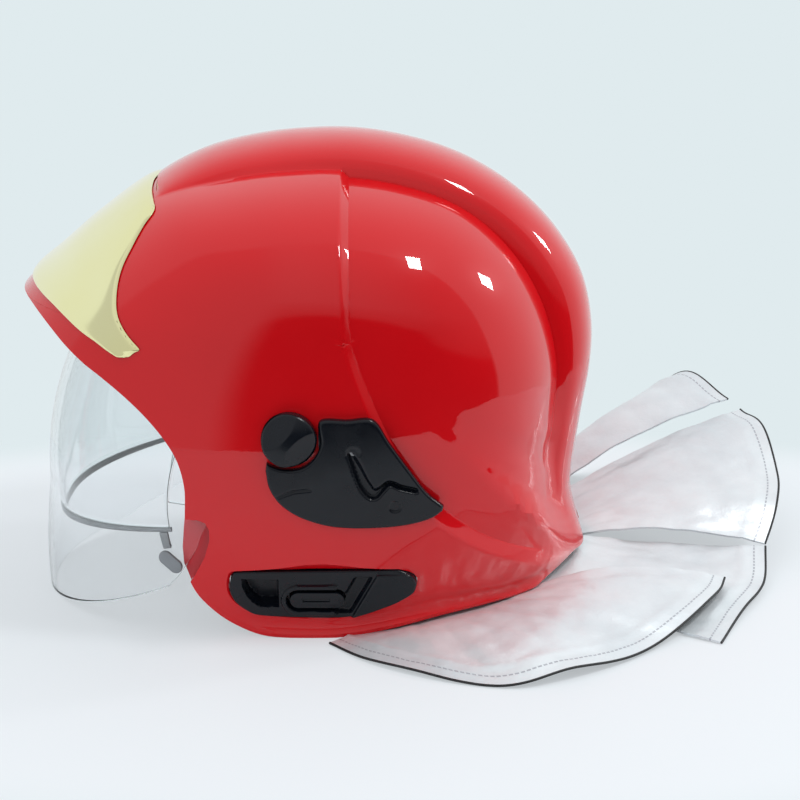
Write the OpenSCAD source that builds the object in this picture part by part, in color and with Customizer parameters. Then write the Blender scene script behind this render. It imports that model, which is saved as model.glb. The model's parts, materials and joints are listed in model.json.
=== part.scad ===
// Fire helmet with a crest, a mirror frontal plate, a swinging face shield,
// an inner ocular visor, breathing-mask brackets and a neck curtain.
// Lengths are in millimetres. The helmet faces -X, its left side is at -Y, and +Z is up.
// All shapes are laid out from the knob axis, which crosses the side plane at its zero.

/* [Placement] */
// Height of the knob axis over the table
axis_h = 115; // [110:1:125]
// Reach of the brim in front of the knob axis
brim_reach = 148; // [140:1:156]
// Reach of the curtain behind the knob axis
curtain_reach = 277; // [250:1:300]

/* [Shell] */
// Half width of the shell at its widest
shell_w = 123; // [116:1:130]
// Wall of the outer shell
shell_t = 3.5; // [2.5:0.5:4.5]
// Height of the step between the front and the rear half
step_h = 3.5; // [2:0.5:5]
// Half width of the crest at its foot
crest_w = 40; // [32:1:46]
// Width of the crest's sloping flank
crest_flank = 3; // [2:0.5:5]
// Thickness of the frontal plate
plate_t = 3; // [2:0.5:4]

/* [Visors] */
// Radius of the face shield about its hinge, outside
shield_r = 158; // [154:0.5:160]
// Gap at the sides between the shell's wall and the face shield
shield_side_gap = 7.5; // [6.5:0.5:9]
// Wall of the face shield
shield_t = 2.5; // [2:0.5:3]
// Extra radius of the face shield's flared lower edge
shield_flare = 16; // [8:1:18]
// Gap at the front between the face shield and the ocular visor
ocular_gap = 2; // [1.5:0.5:4]
// Gap at the sides between the face shield and the ocular visor, which holds the shield's arms
ocular_side_gap = 4.5; // [4:0.5:6]
// Wall of the ocular visor
ocular_t = 2; // [1.5:0.5:2.5]
// Radius of the hinge pins
pin_r = 4; // [3:0.5:5]

/* [Knobs and brackets] */
// Radius of the side knobs
knob_r = 14; // [12:0.5:16]
// Height of the side knobs
knob_h = 9; // [6:0.5:12]
// Thickness of the side plates
side_plate_t = 4; // [3:0.5:6]
// Depth of the mask bracket
bracket_d = 12; // [10:1:14]

/* [Inside] */
// Gap at the front between the ocular visor and the housing
housing_gap = 2; // [1.5:0.5:4]
// Gap at the sides between the ocular visor and the housing
housing_side_gap = 2.5; // [2:0.5:4]
// Wall of the visor housing
housing_t = 2; // [1.5:0.5:3]
// Thickness of the front liner over the crown
liner_t = 16.1; // [13:0.5:19]
// Thickness of the front liner at the sides
liner_side_t = 8.9; // [7:0.5:11]
// Gap at the sides between the front liner and the headband
band_side_gap = 9.5; // [7:0.5:12]
// Gap at the front between the front liner and the headband
band_front_gap = 26; // [22:1:32]
// Reach of the headband behind the knob axis
band_rear = 114; // [108:1:116]
// Width of the chin strap
strap_b = 20; // [16:1:24]

/* [Curtain] */
// Thickness of the curtain cloth with its lining
cloth_t = 1.2; // [1:0.1:2]

/* [Hidden] */
$fn = 48;

// Centre of the side wall, from which the shell's meridians run out, as x and z
pole = [31, 48];
// Hinge of both visors, as x and z
hinge = [19, -47];
// Roundness of the shell in side view and across
shell_p = 2.5;
shell_q = 2.1;
// Roundness of the visors
visor_p = 2.2;
// Half widths, and radii about the hinge, of the layers inside the shell, each inside the last
shield_w = shell_w - shell_t - shield_side_gap;
ocular_r = shield_r - shield_t - ocular_gap;
ocular_w = shield_w - shield_t - ocular_side_gap;
housing_r = ocular_r - ocular_t - housing_gap;
housing_w = ocular_w - ocular_t - housing_side_gap;
liner_gap = 0.4;
liner_pin_gap = 2.2;
liner_out_r = housing_r - housing_t - liner_gap;
liner_out_w = housing_w - housing_t - liner_gap - liner_pin_gap;
liner_in_r = liner_out_r - liner_t;
liner_in_w = liner_out_w - liner_side_t;
band_t = 2;
band_w = liner_in_w - band_side_gap - band_t;
band_front = hinge[0] - liner_in_r + band_front_gap;
band_l = (band_rear - band_front) / 2 - band_t;
head_x = (band_rear + band_front) / 2;
// Side outline of the dome under the crest, from the brim's tip over the top to the nape's edge
dome_outline = [[-brim_reach, 54], [-128, 70.5], [-105, 89.5], [-75, 109.5], [-45, 117.5], [-10, 123],
    [20, 124.5], [58, 119.5], [95, 105], [123, 79], [140, 48], [147, 15], [145, -20], [143.5, -50],
    [151, -76], [161, -92]];
// Reach of the side walls below the rim, as directions from the pole and radii
dome_below = [[228.4, 191], [231.6, 195], [235.6, 200], [240.3, 204], [253.4, 222], [264, 247],
    [275, 265], [291, 268], [303, 269], [314, 270], [326, 252], [338, 229], [349.6, 203], [356, 193]];
// Side outline of the crest
crest_outline = [[-75, 112], [-53, 124], [-25, 132], [2, 135.5], [29, 136], [57, 132], [95, 119],
    [121, 102], [142, 80], [155, 57], [160.5, 30], [159.5, 5], [156, -15], [153, -35], [150.8, -55],
    [151, -70], [156, -84], [161, -92]];
// Rim from the nape's edge along the cheek to the brim's tip
rim_outline = [[161, -92], [151, -92.6], [146, -97], [133, -101], [117, -103], [104, -103.5],
    [77, -106], [47, -111.5], [22, -axis_h], [-2, -axis_h], [-17, -113.5], [-30, -108], [-40, -101], [-49, -91],
    [-54, -80], [-56, -70], [-55, -55], [-54, -40], [-54, -28], [-57, -15], [-63, -4], [-72, 7],
    [-83, 17], [-95, 25.5], [-105, 31.5], [-115, 38.5], [-123, 44.5], [-130, 49], [-137, 52.3],
    [-143, 53.7], [-brim_reach, 54]];
// Directions of the meridians from the pole over the front half and over the rear half
front_dirs = [5, 9, 14, 20, 26, 30.2, 31.2, 38, 46, 54, 62, 70, 78, 84, 88];
rear_dirs = [91.5, 96, 103, 111, 120, 129, 138, 147, 156, 165, 174, 183, 192, 200, 207, 213, 218, 222,
    225.3];
crest_start = 30.7;
// Most that the step line bows away from a straight run to the nape
step_bow = 27;
step_bow_spread = 22;
rings = 12;
crest_rings = [[1, 0.62], [0.8, 0.86], [0.45, 0.97], [0, 1]];

// Polar form of a point about the pole: direction from -X over the top, and distance
function polar(p) = [(atan2(p[1] - pole[1], pole[0] - p[0]) + 360) % 360, norm(p - pole)];
function dir(a) = [-cos(a), sin(a)];
function wrapped(t) = concat([for (i = [len(t) - 3:len(t) - 1]) t[i] - [360, 0]], t,
    [for (i = [0:2]) t[i] + [360, 0]]);
dome_table = wrapped(concat([for (p = dome_outline) polar(p)], dome_below));
crest_table = [for (p = crest_outline) polar(p)];

// Smooth curve through a table of positions and values
function chord(t, i) = (t[i + 1][1] - t[i][1]) / (t[i + 1][0] - t[i][0]);
function slope(t, i) =
    i == 0 ? chord(t, 0) :
    i == len(t) - 1 ? chord(t, i - 1) :
    let (a = t[i][0] - t[i - 1][0], b = t[i + 1][0] - t[i][0])
    (chord(t, i - 1) * b + chord(t, i) * a) / (a + b);
function interval(t, x, i = 0) = i >= len(t) - 2 || x < t[i + 1][0] ? i : interval(t, x, i + 1);
function smooth(t, x) =
    let (i = interval(t, x), w = t[i + 1][0] - t[i][0], u = (x - t[i][0]) / w)
    (1 + 2 * u) * (1 - u) * (1 - u) * t[i][1] + u * (1 - u) * (1 - u) * w * slope(t, i)
    + u * u * (3 - 2 * u) * t[i + 1][1] - u * u * (1 - u) * w * slope(t, i + 1);
function lookup_at(t, x) = let (i = interval(t, x), u = (x - t[i][0]) / (t[i + 1][0] - t[i][0]))
    t[i][1] * (1 - u) + t[i + 1][1] * u;

// Reach of the dome and of the crest from the pole in one direction
function reach(a) = smooth(dome_table, a % 360);
function crest_up(a) = a < crest_start || a > 227 ? 0 : max(0, smooth(crest_table, a) - reach(a));
// The same reach averaged over a wide angle, which rounds the side wall near the pole
even_spread = 40;
even_table = [for (a = [-30:15:390]) [a, let (v = [for (d = [-even_spread:10:even_spread]) reach(a + d + 360)])
    (v * [for (i = v) 1]) / len(v)]];
function even(a) = smooth(even_table, a % 360);
// Half width of a skin that lies o outside the front half's outer face
function side_y(x, z, o) =
    let (
        p = polar([x, z]),
        full = reach(p[0]) + o,
        t = min(1, p[1] / full),
        s = min(1, p[1] / mid(even(p[0]) + o, full, t * t))
    ) (shell_w + o) * pow(1 - pow(s, shell_p), 1 / shell_q);
// Distance from the pole at which that skin has half width y
function side_r(a, y, o) =
    let (
        s = pow(1 - pow(min(1, abs(y) / (shell_w + o)), shell_q), 1 / shell_p),
        full = reach(a) + o,
        e = even(a) + o
    ) full * 2 * s * e / (full + sqrt(max(0, full * full - 4 * s * s * (full - e) * e)));
function skin_point(a, y, o) = let (p = pole + dir(a) * side_r(a, y, o)) [p[0], y, p[1]];

// Meridians: the brim's tip, the front half, the rear half, the nape's edge and then the rim
tip_dir = polar(dome_outline[0])[0];
nape_dir = polar(dome_outline[len(dome_outline) - 1])[0];
arch = concat([tip_dir], front_dirs, rear_dirs, [nape_dir]);
j_step = len(front_dirs);
j_nape = len(arch) - 1;
rim_run = [for (i = [1:len(rim_outline) - 2]) polar(rim_outline[i])];
cols = len(arch) + len(rim_run);
function col_dir(j) = j <= j_nape ? arch[j] : rim_run[j - j_nape - 1][0];
function col_end(j, o) = let (full = reach(col_dir(j)) + o)
    j <= j_nape ? full : min(full, rim_run[j - j_nape - 1][1]);
function in_front(j) = j <= j_step || j >= j_nape;
function bow(j) = step_bow * exp(-pow((col_dir(j) - nape_dir) / step_bow_spread, 2));

// Ring k of meridian j on a skin, on the helmet's left
function ring_point(j, k, o_front) =
    let (
        a = col_dir(j),
        o = o_front - (in_front(j) ? 0 : step_h),
        full = reach(a) + o,
        end = col_end(j, o),
        plain = rings - len(crest_rings),
        half_w = crest_w + o_front
    )
    j <= j_nape && j > 0 && k > plain && a < nape_dir - 1 ?
        let (
            c = crest_rings[k - plain - 1],
            y = half_w * c[0],
            up = crest_up(a),
            base = up > 0 ? o_front : o,
            p = pole + dir(a) * (side_r(a, y, base) + up * c[1])
        ) [p[0], -y, p[1]]
    :
        let (
            foot = j <= j_nape && j > 0 && a < nape_dir - 1,
            stop = foot ? side_r(a, half_w + crest_flank, o) : end,
            n = foot ? plain : rings,
            r = full * sin(asin(min(1, stop / full)) * k / n),
            p = pole + dir(a) * r + [sin(a), cos(a)] * bow(j) * sin(180 * r / end),
            y = j <= j_nape && k == rings ? 0 : side_y(p[0], p[1], o)
        ) [p[0], -y, p[1]];
function skin(o) = concat(
    [for (j = [0:cols - 1]) for (k = [1:rings]) ring_point(j, k, o)],
    [for (j = [0:cols - 1]) for (k = [1:rings]) let (p = ring_point(j, k, o)) [p[0], -p[1], p[2]]],
    [for (s = [-1, 1]) for (f = [0, 1])
        [pole[0], s * (shell_w + o - f * step_h), pole[1]]]);
skin_n = 2 * cols * rings + 4;
function vid(s, j, k) = k == rings && j <= j_nape ? j * rings + k - 1
    : s * cols * rings + j * rings + k - 1;
function pole_id(s, j) = 2 * cols * rings + s * 2 + (in_front(j) ? 0 : 1);
function quad(a, b, c, d) = [[a, b, c], [a, c, d]];
function turned(fs) = [for (f = fs) [f[2], f[1], f[0]]];
function shifted(fs, n) = [for (f = fs) [for (i = f) i + n]];
function side_faces(s) = [for (j = [0:cols - 1]) let (m = (j + 1) % cols)
    each concat(
        pole_id(s, j) == pole_id(s, m) ? [[pole_id(s, j), vid(s, j, 1), vid(s, m, 1)]]
            : quad(pole_id(s, j), vid(s, j, 1), vid(s, m, 1), pole_id(s, m)),
        [for (k = [1:rings - 1]) each quad(vid(s, j, k), vid(s, j, k + 1), vid(s, m, k + 1), vid(s, m, k))])];
function skin_faces() = concat(side_faces(0), turned(side_faces(1)));
function rim_faces(s) = [for (j = [j_nape:cols - 1]) let (m = (j + 1) % cols)
    each quad(vid(s, m, rings), vid(s, j, rings), vid(s, j, rings) + skin_n, vid(s, m, rings) + skin_n)];

// A closed solid between two grids of points with the same rows and columns
function grid_skin(n, m) = [for (i = [0:n - 2]) for (j = [0:m - 2])
    each quad(i * m + j, i * m + j + 1, (i + 1) * m + j + 1, (i + 1) * m + j)];
function grid_edge(n, m) = concat([for (j = [0:m - 1]) j], [for (i = [1:n - 1]) i * m + m - 1],
    [for (j = [m - 2:-1:0]) (n - 1) * m + j], [for (i = [n - 2:-1:1]) i * m]);
module between(top, bottom) {
    n = len(top);
    m = len(top[0]);
    e = grid_edge(n, m);
    points = concat([for (row = top) each row], [for (row = bottom) each row]);
    sides = [for (i = [0:len(e) - 1]) let (a = e[i], b = e[(i + 1) % len(e)])
        each quad(b, a, a + n * m, b + n * m)];
    polyhedron(points, concat(grid_skin(n, m), turned(shifted(grid_skin(n, m), n * m)), sides), convexity = 8);
}
function mid(a, b, u) = a * (1 - u) + b * u;
function rows_between(a, b, n) = [for (j = [0:n]) [for (i = [0:len(a) - 1]) mid(a[i], b[i], j / n)]];

// A plate that follows the shell's side between two edge lines, on the left
module side_patch(a, b, n, o_in, o_out) {
    g = rows_between(a, b, n);
    function at(o) = [for (row = g) [for (p = row) [p[0], -side_y(p[0], p[1], o), p[1]]]];
    between(at(o_in), at(o_out));
}

// Half profile of a visor: radius from the hinge against half width
function visor_y(r, rad, w) = w * pow(1 - pow(min(1, r / rad), visor_p), 1 / visor_p);
function visor_curve(rad, w, r0, n) = [for (i = [0:n])
    let (r = i == n ? rad : rad * sin(asin(r0 / rad) + (90 - asin(r0 / rad)) * i / n)) [r, visor_y(r, rad, w)]];
function flip(pts) = [for (i = [len(pts) - 1:-1:0]) [pts[i][0], -pts[i][1]]];
// Closed ring profile between two visor curves, both halves
module visor_profile(rad, w, t, r0, n) {
    outer = visor_curve(rad, w, r0, n);
    inner = visor_curve(rad - t, w - t, r0, n);
    polygon(concat(outer, [for (i = [1:n]) flip(outer)[i]], [for (i = [n:-1:0]) flip(inner)[i]],
        [for (i = [n - 1:-1:0]) inner[i]]));
}
module one_side_profile(rad, w, t, r0, r1, n) {
    outer = [for (i = [0:n]) let (r = mid(r0, r1, i / n)) [r, visor_y(r, rad, w)]];
    inner = [for (i = [n:-1:0]) let (r = mid(r0, r1, i / n)) [r, visor_y(r, rad - t, w - t)]];
    polygon(concat(outer, inner));
}
// Turns a profile about the visor hinge from one angle above the front to another
module about_hinge(from, to) {
    translate([hinge[0], 0, hinge[1]]) rotate([90, 0, 0]) rotate([0, 0, 180 - to])
        rotate_extrude(angle = to - from, $fn = 96) children();
}
// A round bar along Y on the left, between two half widths
module bar(x, z, r, y0, y1) {
    translate([x, -y0, z]) rotate([90, 0, 0]) cylinder(r = r, h = y1 - y0);
}
module right() {
    mirror([0, 1, 0]) children();
}
module placed() {
    translate([(brim_reach - curtain_reach) / 2, 0, axis_h]) children();
}

// Outer shell
knob_seat_gap = 0.5;
spindle_r = 3;
fit = 0.05;
screw_spots = [[32, -7], [53, -36.5]];
screw_r = 1.6;
bracket_edge = [[-32, -81], [-30.5, -77.5], [-26, -76], [10, -75.4], [49, -75], [56, -75.5], [62, -78.5],
    [64, -83], [62, -88.5], [54, -94], [45, -98], [36, -101.3], [27, -103.5], [10, -103.8], [-16, -102.5],
    [-24, -99.5], [-30, -94], [-32.5, -87.5]];
bracket_lean = 11;
bracket_mid = [15, -89];
bracket_gap = 0.5;
notch_edge = [[-70, -46.5], [-48, -46.5], [-44, -48], [-42, -52], [-42, -58], [-45, -68], [-50, -78],
    [-56, -88], [-70, -90]];
function grown(pts, c, g) = [for (p = pts) p + (p - c) / norm(p - c) * g];
// Carries a shape drawn in x and z onto the leaning plane of a mask bracket, y outwards from the shell
module on_bracket() {
    y = side_y(bracket_mid[0], bracket_mid[1], 0);
    translate([0, -y, bracket_mid[1]]) rotate([bracket_lean, 0, 0])
        translate([0, 0, -bracket_mid[1]]) children();
}
// Extrudes an outline drawn in x and z along Y, from outer face at y_out to inner face at y_in, outwards positive
module slab(y_in, y_out) {
    translate([0, -y_in, 0]) rotate([90, 0, 0]) linear_extrude(height = y_out - y_in) children();
}
module shell_cuts() {
    bar(0, 0, spindle_r + fit, shell_w - 20, shell_w + 10);
    for (s = screw_spots) bar(s[0], s[1], screw_r + fit, shell_w - 20, shell_w + 10);
    on_bracket() slab(-25, 15) polygon(grown(bracket_edge, bracket_mid, bracket_gap));
    slab(90, 130) polygon(notch_edge);
}
module outer_shell() {
    color("#c8141c") difference() {
        polyhedron(concat(skin(0), skin(-shell_t)),
            concat(skin_faces(), turned(shifted(skin_faces(), skin_n)), rim_faces(0), turned(rim_faces(1))),
            convexity = 10);
        shell_cuts();
        right() shell_cuts();
    }
}

// Frontal plate: lower and upper edges as half width and direction, from the middle to the corner
plate_low = [[0, 4], [18, 4], [36, 4], [54, 3.7], [70, 3], [82, 1.7], [91, 0], [99, -2], [104, -4],
    [107, -5.2], [109, -4.4]];
plate_high = [[0, 29.6], [16, 29.6], [32, 29.5], [46, 29.2], [58, 28.3], [66, 24.5], [75, 19.5],
    [84, 13.5], [92, 8.5], [100, 3.5], [109, -2.2]];
plate_gap = 0.7;
// Half width of the shell at which the plate's edges are drawn
plate_drawn_w = 123;
function across(y) = y * shell_w / plate_drawn_w;
function both_sides(l) = concat([for (i = [len(l) - 1:-1:1]) [-l[i][0], l[i][1]]], l);
module frontal_plate() {
    g = rows_between(both_sides(plate_low), both_sides(plate_high), 7);
    function at(o) = [for (row = g) [for (p = row) skin_point((p[1] + 360) % 360, across(p[0]), o)]];
    color("#e8dc96") between(at(plate_gap + plate_t), at(plate_gap));
}

// Face shield: a wall that is round about the hinge and flares at its lower edge
shield_low = -23;
shield_top = 42;
shield_flare_from = -2;
shield_back = [[-26, 93], [-23, 84], [-16, 72], [-7, 65], [-2, 61], [4, 58], [30, 58], [42, 62]];
shield_cols = 14;
shield_rows = 13;
function shield_rad(a) = let (u = max(0, (shield_flare_from - a) / (shield_flare_from - shield_low)))
    shield_r + shield_flare * pow(min(1.2, u), 1.35);
// The lower edge droops by three degrees at the sides
function shield_dir(i, side) = mid(shield_low - 3 * side, shield_top, i / shield_cols);
function shield_point(i, v, o) =
    let (
        side = sin(abs(v) * 90),
        a = shield_dir(i, side * side),
        rad = shield_rad(a) + o,
        r0 = lookup_at(shield_back, a),
        t = mid(90, asin(r0 / rad), abs(v)),
        r = rad * sin(t),
        p = hinge + dir(a) * r
    ) [p[0], sign(v) * visor_y(r, rad, shield_w + o), p[1]];
stud_spots = [[6, 66], [22, 66]];
stud_r = 2.4;
function hinge_point(a, r) = hinge + dir(a) * r;
module face_shield() {
    function at(o) = [for (i = [0:shield_cols]) [for (j = [-shield_rows:shield_rows])
        shield_point(i, j / shield_rows, o)]];
    color("#dfe8ea", 0.4) difference() {
        between(at(0), at(-shield_t));
        for (s = [0, 1]) mirror([0, s, 0]) for (d = stud_spots)
            bar(hinge_point(d[0], d[1])[0], hinge_point(d[0], d[1])[1], stud_r + fit, shield_w - 25, shield_w + 5);
    }
}
arm_t = 2.4;
arm_gap = 0.3;
hub_r = 12;
arm_from = 2;
arm_to = 26;
arm_y = shield_w - shield_t - arm_gap;
module shield_arm() {
    color("#2a2d31") difference() {
        union() {
            about_hinge(arm_from, arm_to)
                one_side_profile(shield_r - shield_t - arm_gap, arm_y, arm_t, 6, 72, 8);
            bar(hinge[0], hinge[1], hub_r, arm_y - arm_t - 0.5, arm_y + 0.4);
            for (d = stud_spots)
                bar(hinge_point(d[0], d[1])[0], hinge_point(d[0], d[1])[1], stud_r,
                    visor_y(d[1], shield_r, arm_y) - arm_t, visor_y(d[1], shield_r, shield_w) + 0.6);
        }
        bar(hinge[0], hinge[1], pin_r + fit, arm_y - 10, arm_y + 10);
    }
}
// Oval finger grip on the shield's lower corner, seated along the shield's slope
grip_mid = [-63, -73.5];
grip_half = 3.4;
grip_r = 3.8;
grip_t = 2.2;
grip_turn = 36;
grip_slope = 19.5;
grip_seat = 0.3;
module shield_grip() {
    arm = hinge - grip_mid;
    y = visor_y(norm(arm), shield_rad(-atan2(arm[1], arm[0])), shield_w) + grip_seat;
    color("#5a6066") translate([grip_mid[0], -y, grip_mid[1]]) rotate([0, 0, -grip_slope])
        rotate([0, grip_turn, 0]) rotate([90, 0, 0]) linear_extrude(height = grip_t) {
            for (x = [-grip_half, grip_half]) translate([x, 0]) circle(r = grip_r);
            translate([-grip_half, -grip_r]) square([2 * grip_half, 2 * grip_r]);
        }
}

// Ocular visor, its trim and its finger tabs
ocular_low = -7.5;
ocular_top = 34;
ocular_arm_from = 2;
ocular_arm_to = 22;
ocular_back = 84;
module ocular_visor() {
    color("#d6e0e2", 0.4) difference() {
        union() {
            about_hinge(ocular_low, ocular_top) visor_profile(ocular_r, ocular_w, ocular_t, ocular_back, 16);
            for (s = [0, 1]) mirror([0, s, 0]) {
                about_hinge(ocular_arm_from, ocular_arm_to)
                    one_side_profile(ocular_r, ocular_w, ocular_t, 6, ocular_back + 0.01, 7);
                bar(hinge[0], hinge[1], hub_r - 1, ocular_w - ocular_t - 0.4, ocular_w + 0.4);
            }
        }
        for (s = [0, 1]) mirror([0, s, 0])
            bar(hinge[0], hinge[1], pin_r + fit, ocular_w - 10, ocular_w + 10);
    }
}
trim_over = 0.6;
trim_b = 1.6;
module ocular_trim() {
    color("#5a6066") difference() {
        about_hinge(ocular_low - trim_b, ocular_low - 0.05)
            visor_profile(ocular_r + trim_over, ocular_w + trim_over, ocular_t + 2 * trim_over, ocular_back - 1, 16);
    }
}
tab_drop = 6;
tab_at = [85.5, 90];
tab_t = 3.2;
module ocular_tab() {
    top = ocular_low - trim_b - 0.02;
    color("#4a5056") about_hinge(top - tab_drop, top)
        one_side_profile(ocular_r + trim_over, ocular_w + trim_over, tab_t, tab_at[0], tab_at[1], 3);
}

// Hinge pin through both visors' hubs, headed inside the shell
pin_length_in = 8.5;
pin_in = housing_w - pin_length_in;
pin_out = side_y(hinge[0], hinge[1], -shell_t) - 1.2;
module hinge_pin() {
    color("#8e9499") {
        bar(hinge[0], hinge[1], pin_r, pin_in, pin_out);
        bar(hinge[0], hinge[1], pin_r + 3, arm_y + 0.7, pin_out);
        bar(hinge[0], hinge[1], pin_r + 3, pin_in, housing_w - 4.6);
    }
}

// Housing that parts the visors from the liner and carries the pins
housing_front = 29;
housing_rear = 104;
module visor_housing() {
    color("#33373b") difference() {
        union() {
            about_hinge(housing_front, housing_rear)
                visor_profile(housing_r, housing_w, housing_t, 12, 18);
            for (s = [0, 1]) mirror([0, s, 0])
                bar(hinge[0], hinge[1], 18, housing_w - 4.3, housing_w + 0.3);
        }
        for (s = [0, 1]) mirror([0, s, 0])
            bar(hinge[0], hinge[1], pin_r + fit, housing_w - 10, housing_w + 10);
    }
}

// Inner cheek panel behind the shield's corner
panel_front = [[-55, -46], [-56, -55], [-57, -66], [-56.5, -76], [-53, -86], [-46, -95]];
panel_rear = [[-33, -46], [-33, -55], [-33, -66], [-33, -76], [-33, -86], [-34, -97]];
panel_o = -4.6;
panel_t = 2;
module cheek_panel() {
    g = rows_between(panel_front, panel_rear, 5);
    function at(o) = [for (row = g) [for (p = row)
        [p[0], -visor_y(norm(p - hinge), shield_r + shield_flare + o, shield_w + o), p[1]]]];
    color("#b3131b") between(at(panel_o - panel_t), at(panel_o));
}

// Side plate around the knob
side_low = [[-12, -17], [-10.5, -26], [-6, -34], [1, -40], [9, -44], [19, -47], [30, -48.3],
    [42, -48.5], [54, -48], [64, -46.5], [72, -44], [77, -40.5]];
side_high = [[-11.5, -13], [-4, -15.8], [5, -15.5], [12, -10.5], [15.8, -2], [15.5, 9.5], [29, 10],
    [42, 10], [50, -2], [60, -17], [69, -30], [77.5, -38]];
side_gap = 0.4;
module side_plate() {
    color("#1e2226") difference() {
        side_patch(side_low, side_high, 5, side_gap, side_gap + side_plate_t);
        for (s = screw_spots) let (y = side_y(s[0], s[1], 0))
            bar(s[0], s[1], screw_r + fit, y - 3, y + side_gap + side_plate_t - 1.2);
    }
}
module plate_screws() {
    color("#777d82") for (m = [0, 1]) mirror([0, m, 0]) for (s = screw_spots) let (y = side_y(s[0], s[1], 0)) {
        bar(s[0], s[1], screw_r, y - shell_t - 0.5, y + side_gap + side_plate_t - 1.4);
        bar(s[0], s[1], 3.2, y - shell_t - 2.8, y - shell_t - 0.8);
    }
}

// Round knob with pinch flats, on a spindle that is nutted inside the shell
knob_face = side_y(0, 0, 0) + knob_seat_gap + 0.6;
knob_round = 40;
knob_ridge = 4;
knob_turn = 42;
module side_knob() {
    color("#1b1e21") difference() {
        intersection() {
            bar(0, 0, knob_r, knob_face, knob_face + knob_h);
            translate([0, -(knob_face + knob_h - knob_round), 0]) sphere(r = knob_round, $fn = 64);
        }
        for (m = [0, 1]) rotate([0, knob_turn, 0]) mirror([m, 0, 0])
            translate([knob_ridge, -knob_face - knob_h, -30]) rotate([0, 0, 27]) translate([0, -20, 0])
                cube([30, 20, 60]);
        bar(0, 0, spindle_r + fit, knob_face - 5, knob_face + knob_h - 3.5);
    }
}
module knob_spindle() {
    y = side_y(0, 0, 0) - shell_t;
    color("#9aa0a5") {
        bar(0, 0, spindle_r, y - 3.5, knob_face + knob_h - 3.8);
        bar(0, 0, spindle_r + 3, y - 3.5, y - 1);
    }
}

// Mask bracket: a block with a hook slot, a pocket for its release tongue and a raised end
bracket_sink = 1.5;
hook_slot = [[-27, -97], [-22, -80], [-7, -80], [-7, -97]];
tongue_mid = [[3, -92.5], [22, -92.5]];
tongue_r = 4.6;
tongue_gap = 0.4;
module tongue_outline(g) {
    for (p = tongue_mid) translate(p) circle(r = tongue_r + g);
    translate([tongue_mid[0][0], tongue_mid[0][1] - tongue_r - g])
        square([tongue_mid[1][0] - tongue_mid[0][0], 2 * (tongue_r + g)]);
}
module mask_bracket() {
    color("#202428") on_bracket() difference() {
        union() {
            slab(-bracket_sink - bracket_d, -bracket_sink) polygon(bracket_edge);
            slab(-bracket_sink - 1, 0.6) polygon([[34, -99], [43, -78], [58, -78.5], [61, -83], [59, -88],
                [46, -95.5]]);
            slab(-bracket_sink - 1, -0.2) difference() {
                tongue_outline(3.4);
                tongue_outline(1.6);
                translate([tongue_mid[1][0], -110]) square([20, 40]);
            }
        }
        slab(-bracket_sink - 9, 2) polygon(hook_slot);
        slab(-bracket_sink - 7, 2) tongue_outline(tongue_gap);
    }
}
module mask_release() {
    color("#2c3035") on_bracket() difference() {
        slab(-bracket_sink - 4, -bracket_sink + 0.8) tongue_outline(0);
        slab(-bracket_sink - 0.4, 2) translate([tongue_mid[0][0] + 2, tongue_mid[0][1] - 1]) square([14, 2]);
    }
}

// Foam liner in two pieces
liner_front_dir = 30;
module liner_front() {
    color("#3a3c3f") about_hinge(liner_front_dir, housing_rear) {
        outer = visor_curve(liner_out_r, liner_out_w, 22, 16);
        inner = visor_curve(liner_in_r, liner_in_w, 22, 16);
        polygon(concat(outer, [for (i = [1:16]) flip(outer)[i]], [for (i = [16:-1:0]) flip(inner)[i]],
            [for (i = [15:-1:0]) inner[i]]));
    }
}
rear_axis = 28;
rear_spread = 62;
rear_outer = [[115, 8], [113.8, 25], [108.6, 45], [100, 64], [90, 79], [82.4, 88]];
rear_inner = [[62, 76], [74, 63], [84, 46], [89, 25], [91, 8]];
// Half width of the shell's inside at which the rear liner is drawn round
rear_drawn_w = 119.5;
module liner_rear() {
    color("#3a3c3f") scale([1, (shell_w - shell_t) / rear_drawn_w, 1]) translate([rear_axis, 0, 0])
        rotate([0, 0, -rear_spread])
        rotate_extrude(angle = 2 * rear_spread, $fn = 96) polygon(concat(rear_outer, rear_inner));
}
brow_t = 8;
module brow_pad() {
    color("#26282a") about_hinge(liner_front_dir + 6, liner_front_dir + 14)
        visor_profile(liner_in_r - liner_gap, liner_in_w - liner_gap, brow_t, 100, 8);
}

// Headband with its ratchet at the nape
band_z = -6;
band_b = 24;
// Hangers that join the headband to the liner: half spacing, half width, height and lift
hanger_at = 8;
hanger_half = 6;
hanger_h = 8;
hanger_lift = 9;
hanger_gap = 0.7;
hanger_corner = [head_x - hanger_at - hanger_half, band_z - band_b / 2 + hanger_lift + hanger_h];
hanger_out = visor_y(norm(hanger_corner - hinge), liner_in_r, liner_in_w) - hanger_gap;
module oval(g) {
    for (s = [-1, 1]) translate([s * (band_l - band_w), 0]) circle(r = band_w + g, $fn = 96);
    translate([-(band_l - band_w), -band_w - g]) square([2 * (band_l - band_w), 2 * (band_w + g)]);
}
module headband() {
    color("#3b3f43") translate([head_x, 0, band_z - band_b / 2]) {
        linear_extrude(height = band_b) difference() {
            oval(band_t);
            oval(0);
        }
        for (x = [-hanger_at, hanger_at]) for (s = [0, 1]) mirror([0, s, 0])
            translate([x - hanger_half, band_w + band_t / 2, hanger_lift])
                cube([2 * hanger_half, hanger_out - band_w - band_t / 2, hanger_h]);
    }
}
ratchet_x = head_x + band_l + band_t + 0.2;
ratchet_d = 9;
ratchet_z = -19;
ratchet_r = 16;
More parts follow.
